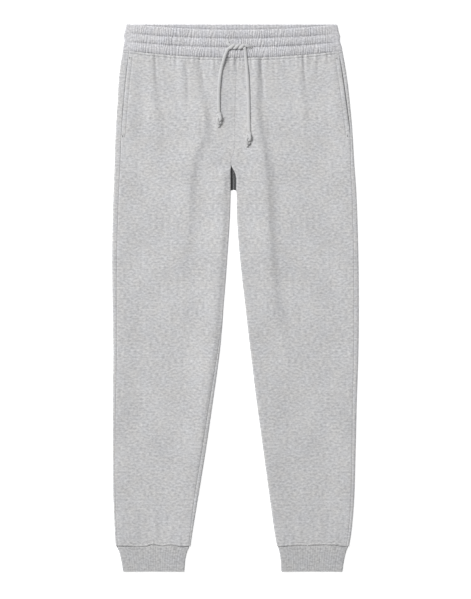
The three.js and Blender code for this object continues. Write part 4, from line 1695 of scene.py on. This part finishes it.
@dataclass(frozen=True)
class Waistband:
    """The elasticated waistband: three channels between rows of stitching, all of it finely gathered.

    Each channel's crest lies above its middle: the smaller the crest's power, the higher.
    """

    WANDER = Sway(0.9, 13, 2.2)
    JITTER = Sway(0.35, 5, 9.3, 60)
    UNEVEN = Sway(0.45, 9, 7.7)
    BROAD = Sway(0.2, 30, 3)
    DASHES = Sway(0.5, 6, 5.5, 30)
    INNER_WANDER = Sway(0.8, 12, 2)

    finish: bpy.types.Material
    columns: tuple[int, int] = (760, 300)
    pitch: float = 4.4
    gather: float = 1.5
    sharpness: float = 0.8
    ridge_level: float = 0.6
    evenness: float = 0.75
    lean: float = 0.8
    bulge: float = 3.3
    crest: float = 0.72
    fullness: tuple[float, float] = (2.4, 0.75)
    channel_level: float = 0.3
    stitch_rows: tuple[float, float] = (0.370, 0.688)
    stitch_rise: float = 0.045
    valley: float = 1.3
    valley_width: float = 0.034
    dash: float = 0.7
    dash_width: float = 0.03
    side_groove: float = 1.1
    groove_width: float = 1.1
    top_sag: float = 0.84
    inner_stretch: float = 1.15
    inner_gather: float = 0.6
    inner_level: float = 0.5
    back_groove: float = 0.8
    crevice: float = 1.0
    crevice_width: float = 2.2
    crevice_above: float = 0.4
    crevice_sag: tuple[float, float] = (1.0, 4.0)
    seam_dip: float = 0.35
    seam_width: float = 1.2
    rounding: float = 1.5

    def channel_rows(self, x: np.ndarray) -> tuple[np.ndarray, np.ndarray]:
        """Where the two rows of stitching lie, as shares of the band's depth, higher at mid front."""
        rise = self.stitch_rise * np.maximum(0, 1 - (x / DROOP_HALF_WIDTH) ** 2)
        return self.stitch_rows[0] - rise, self.stitch_rows[1] - rise

    def depth_at(self, x: np.ndarray, row: np.ndarray, front: np.ndarray) -> np.ndarray:
        """The depth of a row of the band: even down the back, hanging lower at mid front."""
        sag = band_sag(x) * (self.top_sag + (1 - self.top_sag) * row)
        return row * (BAND_DEPTH - SEAM_GAP / 2) + front * sag

    def edges(self, row: np.ndarray) -> tuple[np.ndarray, np.ndarray]:
        """The band's two side edges at each row."""
        depth = row * BAND_DEPTH
        return BAND_OUTLINE.read("right", depth), BAND_OUTLINE.read("left", depth)

    def relief(self, x: np.ndarray, row: np.ndarray, front: float) -> np.ndarray:
        """The band's surface: channels that bulge between the stitching, crossed by fine gathers.

        A gather is a rounded ridge with a sharp valley, the absolute sine of a phase that wanders across
        and shifts a little from channel to channel.

        Args:
            x: places across.
            row: places down the band, from 0 to 1.
            front: 1 on the front layer and 0 on the back.

        Returns:
            Heights in millimetres.
        """
        if not front:
            return np.zeros(np.broadcast(x, row).shape)
        wander, strength = Drift(seed=21), Drift(seed=22)
        one, two = self.channel_rows(x)
        before = [row < one, row < two]
        start = np.select(before, [0, one], two)
        deep = np.select(before, [one, two - one], 1 - two)
        number = np.select(before, [0, 1], 2)
        across = np.abs(2 * np.clip((row - start) / deep, 0, 1) ** self.crest - 1)
        full, flat = self.fullness
        channel = self.bulge * ((1 - across**full) ** flat - self.channel_level)
        phase = x / self.pitch + self.WANDER.read(wander, x, row) + self.JITTER.read(wander, x, number)
        phase = phase + self.lean * (row - 0.5)
        ridge = np.abs(np.sin(math.pi * phase)) ** self.sharpness - self.ridge_level
        local = self.evenness + self.UNEVEN.read(strength, x, number) + self.BROAD.read(strength, x, row)
        dashes = self.DASHES.strength + self.DASHES.read(strength, x, 1.0)
        height = channel + self.gather * local * ridge
        height = height - self.dash * dashes * bell(row - two, self.dash_width)
        for stitching in (one, two):
            height = height - self.valley * bell(row - stitching, self.valley_width)
        for seam in BAND_SIDE_SEAMS:
            height = height - self.side_groove * bell(x - seam, self.groove_width)
        return height

    def inner_relief(self, x: np.ndarray, row: np.ndarray, front: float) -> np.ndarray:
        """The gathers on the inside of the back, which show above the front's edge."""
        if front:
            return np.zeros(np.broadcast(x, row).shape)
        wander = Drift(seed=23)
        phase = x / (self.inner_stretch * self.pitch) + self.INNER_WANDER.read(wander, x, row)
        ridge = np.abs(np.sin(math.pi * phase)) ** self.sharpness - self.inner_level
        seam = self.back_groove * bell(x - BACK_RISE_X, self.groove_width)
        below_edge = row * BAND_DEPTH - self.top_sag * band_sag(x) + self.crevice_above
        crevice = self.crevice * bell(below_edge, self.crevice_width) * ease(band_sag(x), *self.crevice_sag)
        return self.gather * self.inner_gather * ridge - seam - crevice

    def build(self) -> bpy.types.Object:
        """Adds the band, its top edge rounded and its lower edge drawn in at the seam.

        Returns:
            The band's object.
        """
        form = RingForm(BAND_FRONT_HEIGHT, self.columns, self.edges, self.depth_at)
        edge = self.rounding / BAND_DEPTH
        top = edge * np.array(EDGE_ROWS)
        rows = np.concatenate([top, np.linspace(edge, 0.97, 40)[1:], [0.98, 0.99, 1.0]])
        dip = self.seam_dip * bell((1 - rows) * BAND_DEPTH, self.seam_width)
        outer = form.grid(rows, rounded(1 - rows / edge, BAND_WALL) + dip, self.relief)
        inner_rows = np.concatenate([top, np.linspace(edge, 0.34, 26)[1:], [0.6, 1.0]])
        inner_off = BAND_WALL - rounded(1 - inner_rows / edge, BAND_WALL)
        inner = form.grid(inner_rows, inner_off, self.inner_relief)
        piece = closed_wall(outer, inner, ring=True).make("gathered_waistband", self.finish)
        dress(piece, Slot.WAISTBAND, ("waistband",))
        return piece


@dataclass(frozen=True)
class Cuff:
    """One rib-knit cuff, its ribs drawn together towards the hem."""

    SHIFT = Sway(0.12, 1 / 14, 2)
    START = CUFF_OUTLINE.depth[0]
    DEEP = CUFF_OUTLINE.depth[-1] - START

    finish: bpy.types.Material
    side: Side
    columns: tuple[int, int] = (300, 120)
    ribs: int = 27
    rib_height: float = 0.15
    back_ribs: float = 0.4
    hem_bow: float = 0.5
    hem_line: float = 0.5
    hem_line_above: float = 2.6
    hem_line_width: float = 0.8
    swell: float = 0.25
    swell_at: float = 0.45
    swell_width: float = 0.3
    seam_dip: float = 0.5
    seam_width: float = 1.2
    rounding: float = 1.2

    def edges(self, row: np.ndarray) -> tuple[np.ndarray, np.ndarray]:
        """The cuff's two side edges at each row."""
        depth = self.START + self.DEEP * row
        low, high = (CUFF_OUTLINE.read(f"{self.side.value} {edge}", depth) for edge in ("low", "high"))
        return low, high

    def share_across(self, x: np.ndarray, row: np.ndarray) -> np.ndarray:
        """Places across as shares of the cuff's width at each row."""
        low, high = self.edges(row)
        return (x - low) / (high - low)

    def depth_at(self, x: np.ndarray, row: np.ndarray, _front: np.ndarray) -> np.ndarray:
        """The depth of a row on both layers, bowed up at the seam and at the hem."""
        across = self.share_across(x, row)
        level = self.START + self.DEEP * row
        return level - (1 - row) ** 2 * cuff_seam_rise(x, across) - self.hem_bow * row * arch(across)

    def relief(self, x: np.ndarray, row: np.ndarray, front: float) -> np.ndarray:
        """Upright ribs, on the front with a line above the hem and a soft swell in the middle.

        Args:
            x: places across.
            row: places down the cuff, from 0 to 1.
            front: 1 on the front layer and 0 on the back.

        Returns:
            Heights in millimetres.
        """
        across = self.share_across(x, row)
        phase = self.ribs * across + self.SHIFT.read(Drift(seed=31), across, row)
        rib = self.rib_height * np.sin(2 * math.pi * phase) * (self.back_ribs + (1 - self.back_ribs) * front)
        if not front:
            return np.maximum(rib, 0)
        above_hem = (1 - row) * self.DEEP
        line = self.hem_line * bell(above_hem - self.hem_line_above, self.hem_line_width)
        return rib - line + self.swell * bell(row - self.swell_at, self.swell_width)

    def build(self) -> None:
        """Adds the cuff, drawn in at its seam and rounded at its hem."""
        form = RingForm(CUFF_FRONT_HEIGHT, self.columns, self.edges, self.depth_at)
        edge = self.rounding / self.DEEP
        end = 1 - edge * np.array(EDGE_ROWS)[::-1]
        rows = np.concatenate([np.linspace(0, 0.06, 5), np.linspace(0.06, 1 - edge, 30)[1:], end[1:]])
        dip = self.seam_dip * bell(rows * self.DEEP, self.seam_width)
        outer = form.grid(rows, rounded(1 - (1 - rows) / edge, CUFF_WALL) + dip, self.relief)
        inner_rows = np.concatenate([[0, 0.5], end])
        inner_off = CUFF_WALL - rounded(1 - (1 - inner_rows) / edge, CUFF_WALL)
        inner = form.grid(inner_rows, inner_off)
        piece = closed_wall(outer, inner, ring=True).make(f"rib_cuff_{self.side.value}", self.finish)
        dress(piece, Slot.RIB, (f"cuff_{self.side.value}",))


@dataclass(frozen=True)
class Stitches:
    """The visible stitching: short rounded threads, end to end along lines on the cloth.

    Each thread has three rings between two poles, and its poles dip into the cloth.
    """

    RINGS = ((0.12, 0.8), (0.5, 1.0), (0.88, 0.8))

    thread: bpy.types.Material
    band: Waistband
    pitch: float = 3.2
    gap: float = 0.7
    width: float = 0.6
    lift: float = 0.12
    sides: int = 6
    ring_step: float = 1.2
    line_step: float = 0.6
    band_clear: float = 2.0
    seam_clear: float = 1.0
    leg_points: int = 320
    pocket_points: int = 160
    pocket_sink: float = 0.5
    tack_steps: int = 7
    tack_pitch: float = 0.55
    tack_length: float = 5.0
    tack_clear: float = 1.5
    tack_lift: float = 0.1

    def add_threads(self, faces: Faces, starts: np.ndarray, ends: np.ndarray) -> None:
        """Adds one thread between each start and its end.

        Args:
            faces: what the threads are added to.
            starts: the threads' first points.
            ends: their last points.
        """
        run = ends - starts
        along = unit(run)
        across = unit(np.cross([0, 0, 1.0], along))
        up = np.cross(along, across)
        turn = full_turn(self.sides)
        round_one = np.cos(turn[:-1])[None, :, None] * across[:, None, :]
        round_two = np.sin(turn[:-1])[None, :, None] * up[:, None, :]
        rings = []
        for u, share in self.RINGS:
            centre = (starts + run * u + up * self.lift)[:, None, :]
            rings.append(centre + self.width / 2 * share * (round_one + round_two))
        poles = np.stack([starts - up * self.lift, ends - up * self.lift], axis=1)
        block = np.concatenate([*rings, poles], axis=1)
        count = block.shape[1]
        first = faces.add_points(block) + count * np.arange(len(block))[:, None]
        index = first[:, :, None] + np.arange(count)[None, None, :]
        ring = index[:, 0, : 3 * self.sides].reshape(-1, 3, self.sides)
        ring = closed(ring, axis=2)
        across_cloth = turn * self.width / 2
        for level in (0, 1):
            cloth = np.zeros((len(block), self.sides + 1, 2)) + np.stack([across_cloth, 0 * turn], axis=-1)
            lower, upper = cloth + [0, level * self.ring_step], cloth + [0, (level + 1) * self.ring_step]
            faces.add_strip(ring[:, level], ring[:, level + 1], lower, upper, False)
        for level, pole, flip in ((0, 0, True), (2, 1, False)):
            tip = np.repeat(index[:, 0, 3 * self.sides + pole][:, None], self.sides, axis=1)
            fan = np.stack([ring[:, level, :-1], ring[:, level, 1:], tip], axis=-1).reshape(-1, 3)
            faces.add_faces(fan[:, ::-1] if flip else fan, np.zeros((len(fan), 3, 2)))

    def add_line(self, faces: Faces, path: np.ndarray) -> None:
        """Adds threads end to end along a path.

        Args:
            faces: what they are added to.
            path: close points on the cloth.
        """
        begin = np.arange(0, lengths_along(path)[-1] - self.pitch, self.pitch)
        self.add_threads(faces, points_at(path, begin), points_at(path, begin + self.pitch - self.gap))

    def band_path(self, number: int) -> np.ndarray:
        """A row of stitching along the waistband's front, lying in its valley."""
        x = np.arange(BAND_SIDE_SEAMS[0] + self.band_clear, BAND_SIDE_SEAMS[1], self.line_step)
        row = self.band.channel_rows(x)[number]
        z = BAND_FRONT_HEIGHT + self.band.relief(x, row, 1.0)
        return garment_point(x, self.band.depth_at(x, row, np.ones_like(x)), z)

    def across_leg(self, side: Side, depth: float) -> np.ndarray:
        """A line across a leg's front at one depth, from the side seam to the inner seam."""
        section = Section(side, np.array([depth]))
        low = section.outseam() + self.seam_clear
        high = section.front_length - section.inseam() - self.seam_clear
        q = low + (high - low) * np.linspace(0, 1, self.leg_points)[None, :]
        return section.place(q, 0.0)[0]

    def pocket_path(self, side: Side) -> np.ndarray:
        """The topstitching beside a pocket's opening."""
        section = Section(side, np.linspace(POCKET_TOP_DEPTH, POCKET_BOTTOM_DEPTH, self.pocket_points))
        q = section.outseam() + section.pocket_opening() + POCKET_STITCH
        return section.place(q, self.pocket_sink)[:, 0]

    def add_tacks(self, faces: Faces, side: Side) -> None:
        """Adds the close bars of stitching at a pocket's two ends."""
        for depth in (POCKET_TOP_DEPTH, POCKET_BOTTOM_DEPTH):
            section = Section(side, depth + self.tack_pitch * np.arange(self.tack_steps))
            low = section.outseam() + self.tack_clear
            points = section.place(np.concatenate([low, low + self.tack_length], axis=1), -self.tack_lift)
            self.add_threads(faces, points[:, 0], points[:, 1])

    def build(self) -> None:
        """Adds the waistband's two rows, then each leg's lines and tacks."""
        faces = Faces()
        for number in (0, 1):
            self.add_line(faces, self.band_path(number))
        dress(faces.make("waistband_stitches", self.thread), Slot.WAISTBAND)
        for side in Side:
            faces = Faces()
            self.add_line(faces, self.across_leg(side, BAND_DEPTH + Relief.TOPSTITCH))
            self.add_line(faces, self.across_leg(side, CUFF_SEAM_DEPTH - Relief.CUFF_STITCH))
            self.add_line(faces, self.pocket_path(side))
            self.add_tacks(faces, side)
            dress(faces.make(f"leg_stitches_{side.value}", self.thread), Slot.FLEECE)


def main() -> None:
    """Builds the studio and the garment in order."""
    logging.basicConfig(level=logging.INFO, format="%(name)s: %(message)s")
    Studio().build()
    # The last of the knits is painted shade for the legs' inner faces.
    fleece, band, rib, cord, thread, inside = (knit.build() for knit in KNITS)
    Drawcords(cord, thread).build()
    waistband = Waistband(band)
    waistband.build()
    Legs(fleece, inside).build()
    Pockets(fleece).build()
    for side in Side:
        Cuff(rib, side).build()
    Stitches(thread, waistband).build()


if __name__ == "__main__":
    main()
